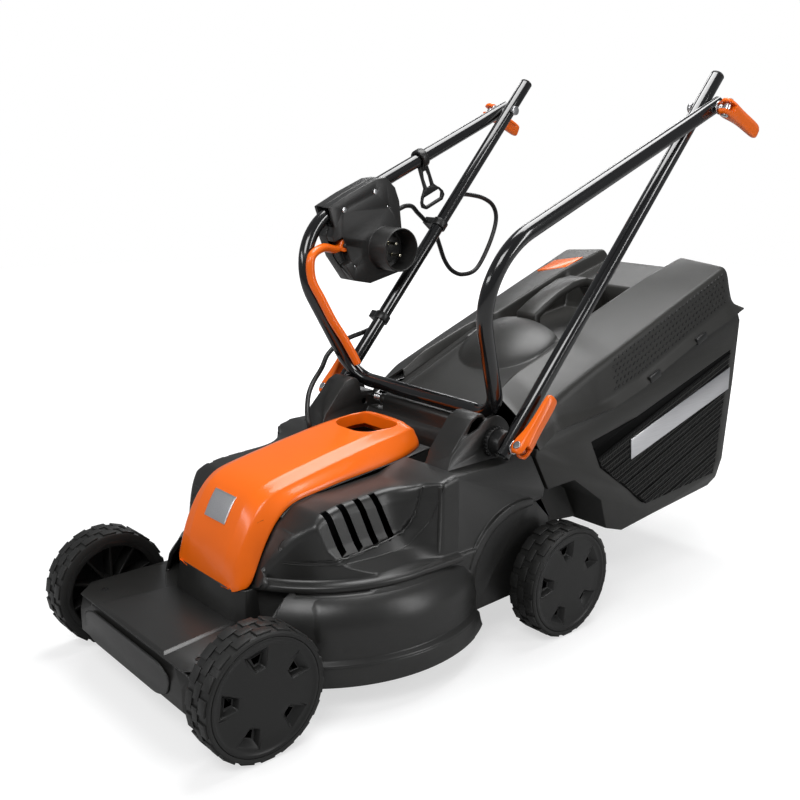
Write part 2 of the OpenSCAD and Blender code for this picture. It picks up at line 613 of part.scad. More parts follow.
// Lines of the lid, each as height over distance back.
rim_line = [[436, 250], [470, 271], [586, 281], [646, 298], [759, 343], [879, 379], [897, 384]];
outer_crease = [[436, 262], [475, 284], [566, 288], [651, 312], [789, 367], [870, 398], [885, 394], [897, 388]];
inner_crease = [[436, 272], [475, 300], [593, 347], [725, 398], [862, 450], [885, 406], [897, 390]];
shoulder_line = [[436, 312], [475, 334], [604, 377], [725, 418], [770, 433], [850, 454], [864, 456], [885, 408], [897, 391]];
valley_line = [[436, flap_top(436) - flap_t - 1], [flap_back + 4, flap_top(flap_back + 4) - flap_t - 1], [flap_back + 7, 346],
    [762, 372], [768, 412], [850, 434], [864, 438], [885, 400], [897, 388]];
valley_half = [[436, 92], [flap_back - 14, 92], [flap_back + 20, 74], [897, 74]];
lid_rows = [436, 470, 475, 566, 586, flap_back + 4, flap_back + 7, 604, 620, 646, 651, 690, 725, 759, 762, 768, 789, 850,
    864, 870, 879, 885, 897];
rim_x = catcher_w / 2;
crease_x = rim_x - 18;
tub_x = rim_x - 5;

// The section of one shoulder and of the lower middle, both drawn in by t.
function shoulder_ring(y, t, dy) = let (x = lookup(y, valley_half) + t, low = lookup(y, rim_line) - 1.2 * t,
    top = lookup(y, valley_line) - t)
    [for (p = [[x - 8, low], [rim_x - t, low], [rim_x - 10 - t, lookup(y, outer_crease) - t],
        [crease_x - t / 2, lookup(y, inner_crease) - t], [x, lookup(y, shoulder_line) - 1.2 * t], [x - 4, top], [x - 8, top]])
        [-p[0], y + dy, p[1]]];
function middle_ring(y, t, dy) = let (x = lookup(y, valley_half) + t - 5, low = lookup(y, rim_line) - 1.2 * t,
    top = lookup(y, valley_line) - t)
    [for (p = [[-x, low], [-x, top], [x, top], [x, low]]) [p[0], y + dy, p[1]]];

module lid_solid() {
    both_sides() skin([for (y = lid_rows) shoulder_ring(y, 0, 0)]);
    skin([for (y = lid_rows) middle_ring(y, 0, 0)]);
}

module lid_hollow() {
    rows = [for (y = lid_rows) if (y == 436 || y > 450 && y < 870) y];
    both_sides() skin([for (y = rows) shoulder_ring(y, catcher_wall, y == 436 ? 3 : 0)]);
    skin([for (y = rows) middle_ring(y, catcher_wall, y == 436 ? 5 : y == 864 ? -1 : 0)]);
}

module catcher_lid() color([0.24, 0.24, 0.22]) in_frame() difference() {
    lid_solid();
    difference() {
        lid_hollow();
        // seat of the carry handle's feet
        across(-carry_w / 2 - 4, carry_w / 2 + 4) polygon([[594, 300], [594, 360], [640, 360], [640, 300]]);
    }
    across(-tunnel_w / 2, tunnel_w / 2) polygon([[430, 200], [430, 262], [460, 262], [460, 200]]);
    level_flap_cut();
    // notches of the lid's clips in the rim
    for (y = clip_rows) both_sides() translate([rim_x - 4, y - 13, lookup(y, rim_line) - 4])
        rotate([clip_slope, 0, 0]) translate([0, 0, -4]) cube([6, 26, 12]);
}

clip_rows = [675, 782];
clip_slope = 20;

module lid_clips() color([0.18, 0.18, 0.17]) in_frame() for (y = clip_rows) both_sides()
    translate([rim_x - 4, y - 12, lookup(y, rim_line) - 4]) rotate([clip_slope, 0, 0]) translate([0, 0, -3]) cube([5, 24, 10]);

module tub_outline(t) {
    w = catcher_wall * (t > 0 ? 1 : 0);
    polygon([[461 + w, 191 + w], [435 + w, 240], [436 + w, 250 + t], each [for (p = rim_line) if (p[0] > 436 && p[0] < 880)
        [p[0] - (p[0] > 870 ? w : 0), p[1] + t]], [886 - w, 366], [880 - w, 273], [864 - w, 118 + w], [846 - w, 107 + w], [713, 93 + w], [640, 84 + w],
        [600 + w, 98 + w], [572 + w, 150 + w], [514 + w, 192 + w]]);
}

module tub_solid(t) {
    intersection() {
        across(-tub_x + t, tub_x - t) tub_outline(t);
        back(400, 920) polygon([[-tub_x + t, 450], [-tub_x + t, 150], [-tub_x + 14, 80], [tub_x - 14, 80], [tub_x - t, 150], [tub_x - t, 450]]);
    }
    across(-tunnel_w / 2 - 8 + t, tunnel_w / 2 + 8 - t) polygon([[462 + t, 118 + t], [462 + t, 240], [520, 240], [660, 240], [660, 90 + t],
        [600, 100 + t], [480, 112 + t]]);
}

mesh_outline = [[540, 240], [562, 198], [675, 117], [850, 128], [872, 326], [640, 258]];
function inset(p, c, k) = [for (q = p) c + (q - c) * k];
mesh_centre = [720, 215];

module catcher_tub() color([0.23, 0.23, 0.22]) in_frame() difference() {
    tub_solid(0);
    tub_solid(catcher_wall);
    across(-tunnel_w / 2 + 2, tunnel_w / 2 - 2) polygon([[420, 120], [420, 262], [470, 262], [470, 120]]);
    across(-rim_x, rim_x) polygon(inset(mesh_outline, mesh_centre, 0.97));
    for (y = clip_rows) both_sides() translate([rim_x - 4, y - 13, lookup(y, rim_line) - 4])
        rotate([clip_slope, 0, 0]) translate([0, 0, -4]) cube([6, 26, 12]);
}

module mesh_panel() color([0.1, 0.1, 0.1]) in_frame() {
    across(tub_x - mesh_t, tub_x - 0.5) polygon(inset(mesh_outline, mesh_centre, 0.97));
    intersection() {
        across(tub_x - 1, tub_x + 0.8) polygon(inset(mesh_outline, mesh_centre, 0.965));
        for (k = [0:mesh_ribs - 1]) translate([0, 0, 235 - 18 * k])
            across(tub_x - 2, tub_x + 2) polygon([[520, -20], [520, -17.5], [900, 112.5], [900, 110]]);
    }
}

plate_outline = [[630, 227], [633, 197], [866, 262], [866, 296]];
module side_plates() color([0.82, 0.82, 0.84]) in_frame() both_sides()
    across(tub_x + 0.8, tub_x + 2.3) polygon(plate_outline);

module carry_handle() color([0.24, 0.24, 0.23]) in_frame() across(-carry_w / 2, carry_w / 2)
    polygon([[594, lookup(594, valley_line)], [590, 388], [612, 401], [643, 416], [676, 428], [706, 431], [735, 424], [752, 410], [760, 396],
        [760, lookup(760, valley_line)], [746, lookup(746, valley_line)], [744, 394], [728, 412], [705, 419], [678, 416],
        [645, 404], [622, 392], [606, 382], [604, lookup(604, valley_line)]]);

// Height of the right shoulder's top at a distance from the middle.
function shoulder_at(x, y) = let (a = lookup(y, valley_half), s = lookup(y, shoulder_line), c = lookup(y, inner_crease))
    s + (c - s) * (x - a) / (crease_x - a);
level_x = rim_x - 63;
level_half = 30;
level_front = 772;
level_rear = 814;
level_mid = (level_front + level_rear) / 2;
function level_z(x, y) = shoulder_at(level_x, level_mid) + level_back * (y - level_mid) + level_side * (x - level_x);
level_box = [[level_x - level_half, level_front], [level_x - level_half, level_rear], [level_x + level_half, level_rear],
    [level_x + level_half, level_front]];
level_back = (shoulder_at(level_x, level_rear) - shoulder_at(level_x, level_front)) / (level_rear - level_front);
level_side = (shoulder_at(level_x + level_half, level_mid) - shoulder_at(level_x - level_half, level_mid)) / (2 * level_half);
function level_ring(grow, h) = [for (p = level_box) let (x = p[0] + grow * sign(p[0] - level_x),
    y = p[1] + grow * sign(p[1] - level_mid))
    [-x, y, level_z(x, y) + h]];
// Round edge that the level flap turns on. Its middle lies this far under the flap's face.
level_pin = 0.7;
module level_hinge(r, past) translate([-level_x, level_front, level_z(level_x, level_front) - level_pin])
    rotate([0, 90 + atan(level_side), 0]) cylinder(h = 2 * level_half / cos(atan(level_side)) + past, r = r, center = true);
module level_flap_cut() {
    skin([level_ring(0.6, -2.2), level_ring(0.6, 6)]);
    level_hinge(1.3, 1.2);
}
module level_flap() color([0.95, 0.45, 0.1]) in_frame() {
    skin([level_ring(0, -1.8), level_ring(0, 1)]);
    level_hinge(1.1, 0);
}

// ---------------------------------------------------------------- handle

grip_slope = 22.4;
washer_t = 2;
touch = 0.3;
cam_r = 10;
lower_cam_x = strut_x + strut_r + touch + washer_t + cam_r + touch;
upper_cam_x = grip_x + grip_r + touch + washer_t + cam_r + touch;
upper_cam_turn = 115;
disc_x = strut_x - 26.5;
disc_t = 8;

// Local Z runs up the lower tube from the lower bolt.
module along_strut() in_frame() at(foot_y, foot_z) rotate([-lean, 0, 0]) children();

// Local -Y runs down the upper tube from the upper bolt.
module along_grip() in_frame() at(elbow_y, elbow_z) rotate([grip_slope, 0, 0]) children();

module lower_tube() color([0.1, 0.1, 0.1]) along_strut() difference() {
    translate([strut_x, 0, -16]) cylinder(h = strut_len + strut_over + 16, r = strut_r);
    translate([strut_x, 0, -17]) cylinder(h = strut_len + strut_over + 18, r = strut_r - tube_wall);
    bar(0, 300, bolt_r + run_gap);
    translate([0, 0, strut_len]) bar(0, 300, bolt_r);
}

module tube_plugs() color([0.08, 0.08, 0.08]) along_strut() both_sides() translate([strut_x, 0, strut_len + strut_over]) {
    cylinder(h = 3, r = strut_r);
    translate([0, 0, -15]) cylinder(h = 16, r = strut_r - tube_wall);
}

// Discs on the deck's lugs and the feet that turn against them.
module toothed_discs() color([0.09, 0.09, 0.09]) in_frame() both_sides() at(foot_y, foot_z) {
    difference() {
        union() {
            bush(disc_x, disc_x + disc_t, 18, bolt_r);
            for (k = [0:23]) rotate([15 * k, 0, 0]) translate([disc_x + 2, -1.2, 17]) cube([disc_t - 3, 2.4, 2.5]);
        }
        bar(100, 200, bolt_r);
    }
}

module tube_feet() color([0.09, 0.09, 0.09]) along_strut() both_sides() difference() {
    bar(disc_x + disc_t + touch, strut_x - 2, 17);
    translate([strut_x, 0, -50]) cylinder(h = 100, r = strut_r);
    bar(0, 300, bolt_r + run_gap);
}

module bolt_set(head_x, cam_x, turn) {
    bar(head_x - 5, head_x, 7);
    bar(head_x - 1, cam_x - 5, bolt_r);
    bush(cam_x - cam_r - touch - washer_t, cam_x - cam_r - touch, 9, bolt_r);
    rotate([-turn, 0, 0]) translate([cam_x, 0, 0]) difference() {
        rotate([90, 0, 0]) translate([0, 0, -12]) cylinder(h = 24, r = 5);
        translate([-6, 0, 0]) bar(-4, 1, bolt_r);
    }
}

module lower_bolts() color("silver") in_frame() both_sides() at(foot_y, foot_z)
    bolt_set(lug_out, lower_cam_x, lean);

module upper_bolts() color("silver") in_frame() both_sides() at(elbow_y, elbow_z)
    bolt_set(strut_x - strut_r, upper_cam_x, upper_cam_turn);

// Cam lever with its barrel along Y, its arm along +Z and the tubes on its -X side.
module cam_lever() color([0.95, 0.42, 0.08]) difference() {
    union() {
        rotate([90, 0, 0]) translate([0, 0, -12]) cylinder(h = 24, r = cam_r);
        hull() {
            translate([-3, -11, 2]) cube([11, 22, 10]);
            translate([1, 0, cam_len - 12]) rotate([0, 90, 0]) cylinder(h = 6, r = 9, $fn = 32);
        }
    }
    rotate([90, 0, 0]) translate([0, 0, -20]) cylinder(h = 40, r = 5 + run_gap);
    translate([-cam_r - 5, -bolt_r - 1, -cam_r - 5]) cube([2 * cam_r + 10, 2 * bolt_r + 2, cam_r + 5 + bolt_r + 1]);
}

module cam_place(y, z, x, turn, left) in_frame() mirror([left ? 0 : 1, 0, 0]) at(y, z)
    rotate([-turn, 0, 0]) translate([x, 0, 0]) children();

// Half the upper tube's line, from beyond the bolt down to the middle of the crossbar.
grip_dir = [0, -cos(grip_slope), -sin(grip_slope)];
elbow = [grip_x, elbow_y, elbow_z];
cross_y = 388;
cross_z = 298.6;
elbow_bend = [grip_x - 6, elbow_y + 466 * grip_dir[1], elbow_z + 466 * grip_dir[2]];
cross_bend = [146, cross_y, cross_z];
arm_dir = unit(elbow_bend - elbow);
function flip_x(p) = [-p[0], p[1], p[2]];
function grip_path(past) = rounded([elbow - past * arm_dir, elbow_bend, cross_bend, flip_x(cross_bend), flip_x(elbow_bend),
    flip_x(elbow - past * arm_dir)], [90, 48, 48, 90], 12);

module upper_tube() color([0.1, 0.1, 0.1]) in_frame() difference() {
    sweep(grip_path(15), grip_r, 20);
    sweep(grip_path(12), grip_r - tube_wall, 12);
    at(elbow_y, elbow_z) bar(-300, 300, bolt_r + run_gap);
}

// ---------------------------------------------------------------- switch

box_x = grip_x + 16 - box_t;
split_x = grip_x - 4;
// The upper tube's two arms close in towards the crossbar by this angle.
grip_toe = atan(6 / 466);
box_outline = [[-386, 13], [-343, 15], [-292, 14], [-273, 8], [-263, -12], [-263, -34], [-275, -76], [-289, -106],
    [-303, -132], [-360, -122], [-385, -105], [-396, -62], [-396, -28], [-388, -20]];
inlet = [-315, -86];
pin_root = pin_d - 0.8;
cord_x = box_x + 8;
cord_z = -48;
lever_pivot = [-380, -50];
rivets = [[-363, -2], [-301, -2]];
box_screws = [[-286, -32], [-376, -86], [-312, -124]];

// The box hangs on the right-hand tube, so its parts are drawn on the left and mirrored.
module on_right() mirror([1, 0, 0]) children();

// Local -Y runs down the left arm's own axis, d from the upper bolt.
module on_arm(d) translate([grip_x, 0, 0]) rotate([0, 0, -grip_toe]) translate([0, -d, 0]) children();

module box_half(x0, x1) difference() {
    across(x0, x1) polygon(box_outline);
    on_arm(200) rotate([90, 0, 0]) cylinder(h = 172, r = grip_r);
    translate([grip_x - 18, -400, -16]) cube([26, 40, 28]);
    for (s = box_screws) at(s[0], s[1]) bar(0, 300, 1.75);
    for (s = rivets) at(s[0], s[1]) bar(0, grip_x, 2);
    at(lever_pivot[0], lever_pivot[1]) {
        bar(lever_x - 6.4, lever_x + 6.4, 13);
        translate([lever_x - 10.4, -30, -26]) cube([16.8, 30, 39]);
    }
}

module switch_box() color([0.33, 0.33, 0.32]) along_grip() on_right() {
    difference() {
        union() {
            box_half(box_x, split_x);
            at(inlet[0], inlet[1]) {
                bush(box_x - collar_h, box_x, collar_r, collar_r - 2.5);
                bar(box_x - 12, box_x, 19);
                bar(box_x - 2, box_x, collar_r);
            }
            at(lever_pivot[0], lever_pivot[1]) bar(box_x, split_x, 3);
        }
        for (k = [-1, 1]) at(inlet[0], inlet[1] + k * pin_pitch / 2) bar(box_x - 50, box_x + 6, pin_root / 2);
        translate([cord_x, -290, cord_z]) rotate([-90, 0, 0]) cylinder(h = 40, r = cable_r + 0.1);
        across(box_x + 3, split_x + 1) polygon([[-370, -20], [-370, -60], [-340, -110], [-302, -118], [-285, -76], [-275, -20]]);
    }
}

module switch_back() color([0.3, 0.3, 0.29]) along_grip() on_right() difference() {
    box_half(split_x, grip_x + 16);
    across(split_x - 1, grip_x + 13) polygon([[-370, -20], [-370, -60], [-340, -110], [-302, -118], [-285, -76], [-275, -20]]);
    at(button[0], button[1]) bar(0, 300, 8 + 0.4);
}

module switch_screws() color("silver") along_grip() on_right() {
    for (s = rivets) at(s[0], s[1]) {
        bar(box_x - 2, box_x, 4);
        bar(box_x - 1, box_x + 5, 2);
    }
    for (s = box_screws) at(s[0], s[1]) bar(box_x + 1, grip_x + 12, 1.75);
}

module plug_pins() color("silver") along_grip() on_right() for (k = [-1, 1])
    at(inlet[0], inlet[1] + k * pin_pitch / 2) {
        bar(box_x - 31, box_x - 12, pin_d / 2);
        bar(box_x - 12.5, box_x + 6, pin_root / 2);
    }

button = [-322, -50];
module lock_button() color([0.95, 0.42, 0.08]) along_grip() on_right() at(button[0], button[1]) {
    bar(grip_x + 2, grip_x + 20, 8);
    bar(grip_x + 2, grip_x + 5, 10);
}

lever_x = grip_x - 11;
lever_line = smooth([[-lever_x, 399, 484.5], [2 - lever_x, 384, 480], [14 - lever_x, 353, 485], [-163, 327, 474], [-160, 325, 444],
    [-153, 336, 416], [-146, 350, 384], [-139, 364, 358], [-130, 377, 328], [-127, 379, 320]], 4);

module bail_lever() color([0.95, 0.42, 0.08]) {
    difference() {
        union() {
            in_frame() sweep(lever_line, 6, 8, [1, 0, 0], 1);
            along_grip() on_right() at(lever_pivot[0], lever_pivot[1]) bar(lever_x - 6, lever_x + 6, 9);
        }
        along_grip() on_right() at(lever_pivot[0], lever_pivot[1]) bar(0, 300, 3 + run_gap);
    }
}

hook_at = 188;
module cable_hook() color([0.12, 0.12, 0.12]) along_grip() on_right() on_arm(hook_at) difference() {
    union() {
        rotate([90, 0, 0]) translate([0, 0, -6]) cylinder(h = 12, r = grip_r + 5);
        across(-3, 3) polygon([[-9, -10], [9, -10], [10, -45], [24, -62], [25, -70], [18, -76], [-18, -76], [-25, -70],
            [-24, -62], [-10, -45]]);
    }
    rotate([90, 0, 0]) translate([0, 0, -20]) cylinder(h = 40, r = grip_r + 0.4);
    across(-9, 9) polygon([[-4, -20], [4, -20], [6, -30], [5, -46], [-5, -46], [-6, -30]]);
    across(-9, 9) polygon([[-18, -57], [18, -57], [21, -64], [17, -71], [-17, -71], [-21, -64]]);
}

// ---------------------------------------------------------------- cable

cable_r = cable_d / 2;
// The cable runs beside the right-hand lower tube, this far outside its axis and this far behind it.
cable_out = 14;
cable_off = 7;
cross_out = 22.5;
clips_up = [135, 312];
cross_up = 309;

module cable_clips() color([0.1, 0.1, 0.1]) along_strut() on_right() for (s = clips_up) translate([strut_x, 0, s]) difference() {
    union() {
        translate([0, 0, -6]) cylinder(h = 12, r = strut_r + 2.5);
        translate([0, -9, -6]) cube([s == clips_up[1] ? 28 : 19.5, 21, 12]);
    }
    translate([0, 0, -10]) cylinder(h = 20, r = strut_r);
    translate([cable_out, cable_off, -10]) cylinder(h = 20, r = cable_r + 0.15);
    translate([cross_out, 20, cross_up - clips_up[1]]) rotate([90, 0, 0]) cylinder(h = 40, r = cable_r + 0.1);
}

// A point beside the right-hand lower tube: up along it, behind its axis and outside it.
function beside(up, off = cable_off, out = cable_out) =
    [-strut_x - out, foot_y + up * sin(lean) + off * cos(lean), foot_z + up * cos(lean) - off * sin(lean)];
// A point in the switch box's own axes.
function in_box(x, y, z) = [-x, elbow_y + y * cos(grip_slope) - z * sin(grip_slope),
    elbow_z + y * sin(grip_slope) + z * cos(grip_slope)];

switch_route = [in_box(cord_x, -276, cord_z), in_box(cord_x, -268, cord_z), in_box(cord_x, -260, cord_z), [-strut_x - 10.5, 522, 535],
    [-strut_x - 14.5, 538, 533], [-strut_x - 19.5, 553, 523], beside(cross_up, -18, cross_out), beside(cross_up, -10, cross_out),
    beside(cross_up, -0.2, cross_out)];
handle_route = [beside(cross_up, 0.2, cross_out), beside(cross_up, 10, cross_out), beside(cross_up, 18, cross_out),
    [-strut_x - 23.5, 604, 468], [-strut_x - 24.5, 616, 444], [-strut_x - 23.5, 632, 426],
    [-strut_x - 22.5, 655, 418], [-strut_x - 22.5, 686, 425], [-strut_x - 24.5, 716, 462],
    [-strut_x - 26.5, 733, 500], [-strut_x - 26.5, 726, 524], [-strut_x - 25.5, 702, 538],
    [-strut_x - 22.5, 668, 545], [-strut_x - 17.5, 642, 546], [-strut_x - 14.5, 622, 536],
    beside(334), beside(322), beside(310), beside(300), [-strut_x - 14.5, 565, 470],
    [-strut_x - 14.5, 552, 452], [-strut_x - 15.5, 540, 433], [-strut_x - 16.5, 524, 408],
    [-strut_x - 15.5, 506, 390], [-strut_x - 14.5, 489, 380], beside(145), beside(140), beside(135.2)];
deck_route = [beside(134.8), beside(127), beside(120), [-strut_x - 14.5, 440, 350], [-strut_x - 14.5, 418, 346], [-strut_x - 13.5, 394, 340],
    [-181, 366, 328], [-164, 342, 314], [-149, 316, 300], [-138, 300, 288], [-128, 290, 276], [-119, 283, 266],
    [-112, 280, 256], [-110, 280, 246], [-110, 280, 226]];
module cable(route, n) color([0.06, 0.06, 0.06]) in_frame() sweep(smooth(route, n), cable_r, 8);

// ---------------------------------------------------------------- nodes

deck_housing();
motor_cover();
cover_badge();
cover_screws();
motor_can();
motor_screws();
rotor_shaft();
cooling_fan();
blade_holder();
cutting_blade();
blade_bolt();
axle(0, front_half);  // front_axle
axle(wheelbase, rear_half);  // rear_axle
axle_nuts();
wheel_place(true, true) tread();  // tread_fl
wheel_place(true, true) wheel();  // wheel_fl
wheel_place(true, true) disc();  // disc_fl
wheel_place(true, false) tread();  // tread_fr
wheel_place(true, false) wheel();  // wheel_fr
wheel_place(true, false) disc();  // disc_fr
wheel_place(false, true) tread();  // tread_rl
wheel_place(false, true) wheel();  // wheel_rl
wheel_place(false, true) disc();  // disc_rl
wheel_place(false, false) tread();  // tread_rr
wheel_place(false, false) wheel();  // wheel_rr
wheel_place(false, false) disc();  // disc_rr
rear_flap();
flap_rod();
flap_springs();
catcher_tub();
catcher_lid();
mesh_panel();  // mesh_left
mirror([1, 0, 0]) mesh_panel();  // mesh_right
side_plates();
carry_handle();
lid_clips();
level_flap();
lower_tube();  // lower_tube_left
mirror([1, 0, 0]) lower_tube();  // lower_tube_right
tube_plugs();
toothed_discs();
tube_feet();
lower_bolts();
upper_bolts();
cam_place(foot_y, foot_z, lower_cam_x, lean, true) cam_lever();  // cam_lower_left
cam_place(foot_y, foot_z, lower_cam_x, lean, false) cam_lever();  // cam_lower_right
cam_place(elbow_y, elbow_z, upper_cam_x, upper_cam_turn, true) cam_lever();  // cam_upper_left
cam_place(elbow_y, elbow_z, upper_cam_x, upper_cam_turn, false) cam_lever();  // cam_upper_right
upper_tube();
switch_box();
switch_back();
switch_screws();
plug_pins();
bail_lever();
lock_button();
cable_hook();
cable_clips();
cable(switch_route, 2);  // cable_switch
cable(handle_route, 2);  // cable_handle
cable(deck_route, 2);  // cable_deck
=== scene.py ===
"""Shapes and finishes of the push lawn mower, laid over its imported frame."""

import math

import bmesh
import bpy
from mathutils import Matrix, Vector


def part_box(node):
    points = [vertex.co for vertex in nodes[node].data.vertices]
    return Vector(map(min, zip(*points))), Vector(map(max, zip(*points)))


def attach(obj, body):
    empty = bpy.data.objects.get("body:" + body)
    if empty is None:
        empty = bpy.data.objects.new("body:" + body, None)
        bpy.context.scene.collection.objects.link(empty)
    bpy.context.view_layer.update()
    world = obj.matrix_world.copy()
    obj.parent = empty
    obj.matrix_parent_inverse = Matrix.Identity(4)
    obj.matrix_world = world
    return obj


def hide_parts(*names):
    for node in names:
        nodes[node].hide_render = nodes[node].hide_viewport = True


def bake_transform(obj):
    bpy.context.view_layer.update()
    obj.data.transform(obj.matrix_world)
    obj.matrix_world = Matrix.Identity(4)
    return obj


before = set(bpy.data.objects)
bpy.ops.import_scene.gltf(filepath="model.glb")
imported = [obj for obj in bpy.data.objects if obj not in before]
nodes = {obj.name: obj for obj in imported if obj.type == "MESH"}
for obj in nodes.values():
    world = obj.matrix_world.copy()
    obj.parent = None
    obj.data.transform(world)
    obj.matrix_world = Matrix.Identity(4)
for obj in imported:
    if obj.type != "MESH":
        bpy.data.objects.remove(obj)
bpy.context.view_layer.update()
axle_low, axle_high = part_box("front_axle")
AXLE_Y = (axle_low.y + axle_high.y) / 2

# ---------------------------------------------------------------- building shapes
# Shapes are worked out in millimetres, measured back from the front axle and up from the ground.


def to_frame(point):
    """A point in millimetres from the front axle, as metres in the frame."""
    return Vector((point[0] * 0.001, point[1] * 0.001 + AXLE_Y, point[2] * 0.001))


def lookup(at, table):
    """Straight-line value of a table of (place, value) pairs."""
    if at <= table[0][0]:
        return table[0][1]
    for (a, low), (b, high) in zip(table, table[1:]):
        if at <= b:
            return low + (high - low) * (at - a) / (b - a)
    return table[-1][1]


def smooth_path(points, steps):
    """A smooth curve through every point, with this many steps between neighbours."""
    rows = []
    last = len(points) - 1
    for i in range(last):
        a, b, c, d = (Vector(points[k]) for k in (max(i - 1, 0), i, i + 1, min(i + 2, last)))
        for k in range(steps):
            t = k / steps
            rows.append(0.5 * (2 * b + (c - a) * t + (2 * a - 5 * b + 4 * c - d) * t * t
                               + (3 * b - a - 3 * c + d) * t ** 3))
    rows.append(Vector(points[-1]))
    return rows


def round_corners(outline, radius, steps=4):
    """A closed flat outline with its corners rounded."""
    done = []
    count = len(outline)
    for i, here in enumerate(outline):
        here = Vector(here)
        before, after = Vector(outline[i - 1]), Vector(outline[(i + 1) % count])
        back, on = before - here, after - here
        reach = min(radius, back.length * 0.45, on.length * 0.45)
        start, end = here + back.normalized() * reach, here + on.normalized() * reach
        for k in range(steps + 1):
            t = k / steps
            done.append((1 - t) ** 2 * start + 2 * t * (1 - t) * here + t * t * end)
    return done


def placed(name, data):
    """A new object in the scene."""
    item = bpy.data.objects.new(name, data)
    bpy.context.scene.collection.objects.link(item)
    return item


def add_piece(name, points, faces, finish, angle=40):
    """A mesh piece from millimetre points, closed at its doubles and with its faces outwards."""
    mesh = bpy.data.meshes.new(name)
    mesh.from_pydata([to_frame(p) for p in points], [], faces)
    piece = placed(name, mesh)
    mesh.materials.append(finish)
    tidy_mesh(piece, angle)
    return piece


def tidy_mesh(piece, angle=40):
    shape = bmesh.new()
    shape.from_mesh(piece.data)
    bmesh.ops.remove_doubles(shape, verts=shape.verts, dist=2e-6)
    bmesh.ops.recalc_face_normals(shape, faces=shape.faces)
    shape.to_mesh(piece.data)
    shape.free()
    shade(piece, angle)


def shade(piece, angle=40):
    piece.data.shade_smooth()
    piece.data.set_sharp_from_angle(angle=math.radians(angle))


def settle(piece, *steps, angle=40):
    """Applies modifiers, each given as (kind, settings), and keeps the result as the mesh."""
    for kind, settings in steps:
        modifier = piece.modifiers.new(kind.lower(), kind)
        for key, value in settings.items():
            setattr(modifier, key, value)
    graph = bpy.context.evaluated_depsgraph_get()
    done = bpy.data.meshes.new_from_object(piece.evaluated_get(graph), depsgraph=graph)
    piece.modifiers.clear()
    old = piece.data
    piece.data = done
    done.name = piece.name
    bpy.data.meshes.remove(old)
    shade(piece, angle)
    return piece


def bevel(width, segments=2, angle=30):
    return ("BEVEL", {"width": width, "segments": segments, "limit_method": "ANGLE",
                      "angle_limit": math.radians(angle), "use_clamp_overlap": False})


def cut(piece, cutter, operation="DIFFERENCE"):
    """Takes the cutter's shape out of the piece, or joins it on."""
    settle(piece, ("BOOLEAN", {"object": cutter, "operation": operation, "solver": "EXACT"}))
    remove(cutter)
    return piece


def remove(piece):
    mesh = piece.data
    bpy.data.objects.remove(piece)
    bpy.data.meshes.remove(mesh)


def join(name, parts):
    """One piece from several, each keeping its finish."""
    finishes = []
    shape = bmesh.new()
    for part in parts:
        slots = [slot.material for slot in part.material_slots] or [None]
        for finish in slots:
            if finish not in finishes:
                finishes.append(finish)
        first = len(shape.faces)
        shape.from_mesh(part.data)
        shape.faces.ensure_lookup_table()
        for face in shape.faces[first:]:
            face.material_index = finishes.index(slots[min(face.material_index, len(slots) - 1)])
    mesh = bpy.data.meshes.new(name)
    shape.to_mesh(mesh)
    shape.free()
    for finish in finishes:
        mesh.materials.append(finish)
    for part in list(parts):
        remove(part)
    return placed(name, mesh)


def copy_of(piece, name, change=None, flip=False):
    """A copy, moved by a matrix in metres where one is given."""
    mesh = piece.data.copy()
    mesh.name = name
    if change is not None:
        mesh.transform(change)
    if flip:
        mesh.flip_normals()
    return placed(name, mesh)


def mirrored(piece, name):
    return copy_of(piece, name, Matrix.Scale(-1, 4, (1, 0, 0)), flip=True)


def loft(rings, closed=True, capped=True):
    """Points and faces of a skin over rings with the same number of points."""
    count = len(rings[0])
    points = [p for ring in rings for p in ring]
    faces = []
    for i in range(len(rings) - 1):
        for k in range(count if closed else count - 1):
            n = (k + 1) % count
            faces.append((i * count + k, i * count + n, (i + 1) * count + n, (i + 1) * count + k))
    if capped:
        faces.append(tuple(range(count)))
        faces.append(tuple((len(rings) - 1) * count + k for k in range(count)))
    return points, faces


def grid_faces(columns, rows):
    """Faces of a sheet whose points come row by row."""
    width = columns + 1
    return [(j * width + i, j * width + i + 1, (j + 1) * width + i + 1, (j + 1) * width + i)
            for j in range(rows) for i in range(columns)]


def circle(count):
    """Evenly spaced (cosine, sine) pairs."""
    return [(math.cos(a), math.sin(a)) for a in [2 * math.pi * k / count for k in range(count)]]


def lathe(profile, sides=96):
    """Rings of a closed body of revolution about X: the profile is (radius, distance inwards)."""
    return [[(-inward, radius * c, radius * s) for c, s in circle(sides)] for radius, inward in profile]


def sweep(path, radius, sides=20, first=(1, 0, 0), flatten=None):
    """Rings of a round bar along a path. radius and flatten may change along it."""
    path = [Vector(p) for p in path]
    rings = []
    side = Vector(first)
    for i, here in enumerate(path):
        along = (path[min(i + 1, len(path) - 1)] - path[max(i - 1, 0)]).normalized()
        side = (side - side.dot(along) * along).normalized()
        across = along.cross(side)
        r = radius(i / (len(path) - 1)) if callable(radius) else radius
        thin = flatten(i / (len(path) - 1)) if flatten else 1
        rings.append([here + r * (thin * c * side + s * across) for c, s in circle(sides)])
    return rings


def slab(outline, start, end, plane="yz"):
    """A flat outline pushed through from start to end. plane names the outline's two axes."""
    order = {"yz": lambda a, b, c: (c, a, b), "xz": lambda a, b, c: (a, c, b),
             "xy": lambda a, b, c: (a, b, c)}[plane]
    return loft([[order(p[0], p[1], level) for p in outline] for level in (start, end)])


# Neighbouring triangles that differ by less than this many degrees are one flat face.
SAME_FACE_ANGLE = 1.0


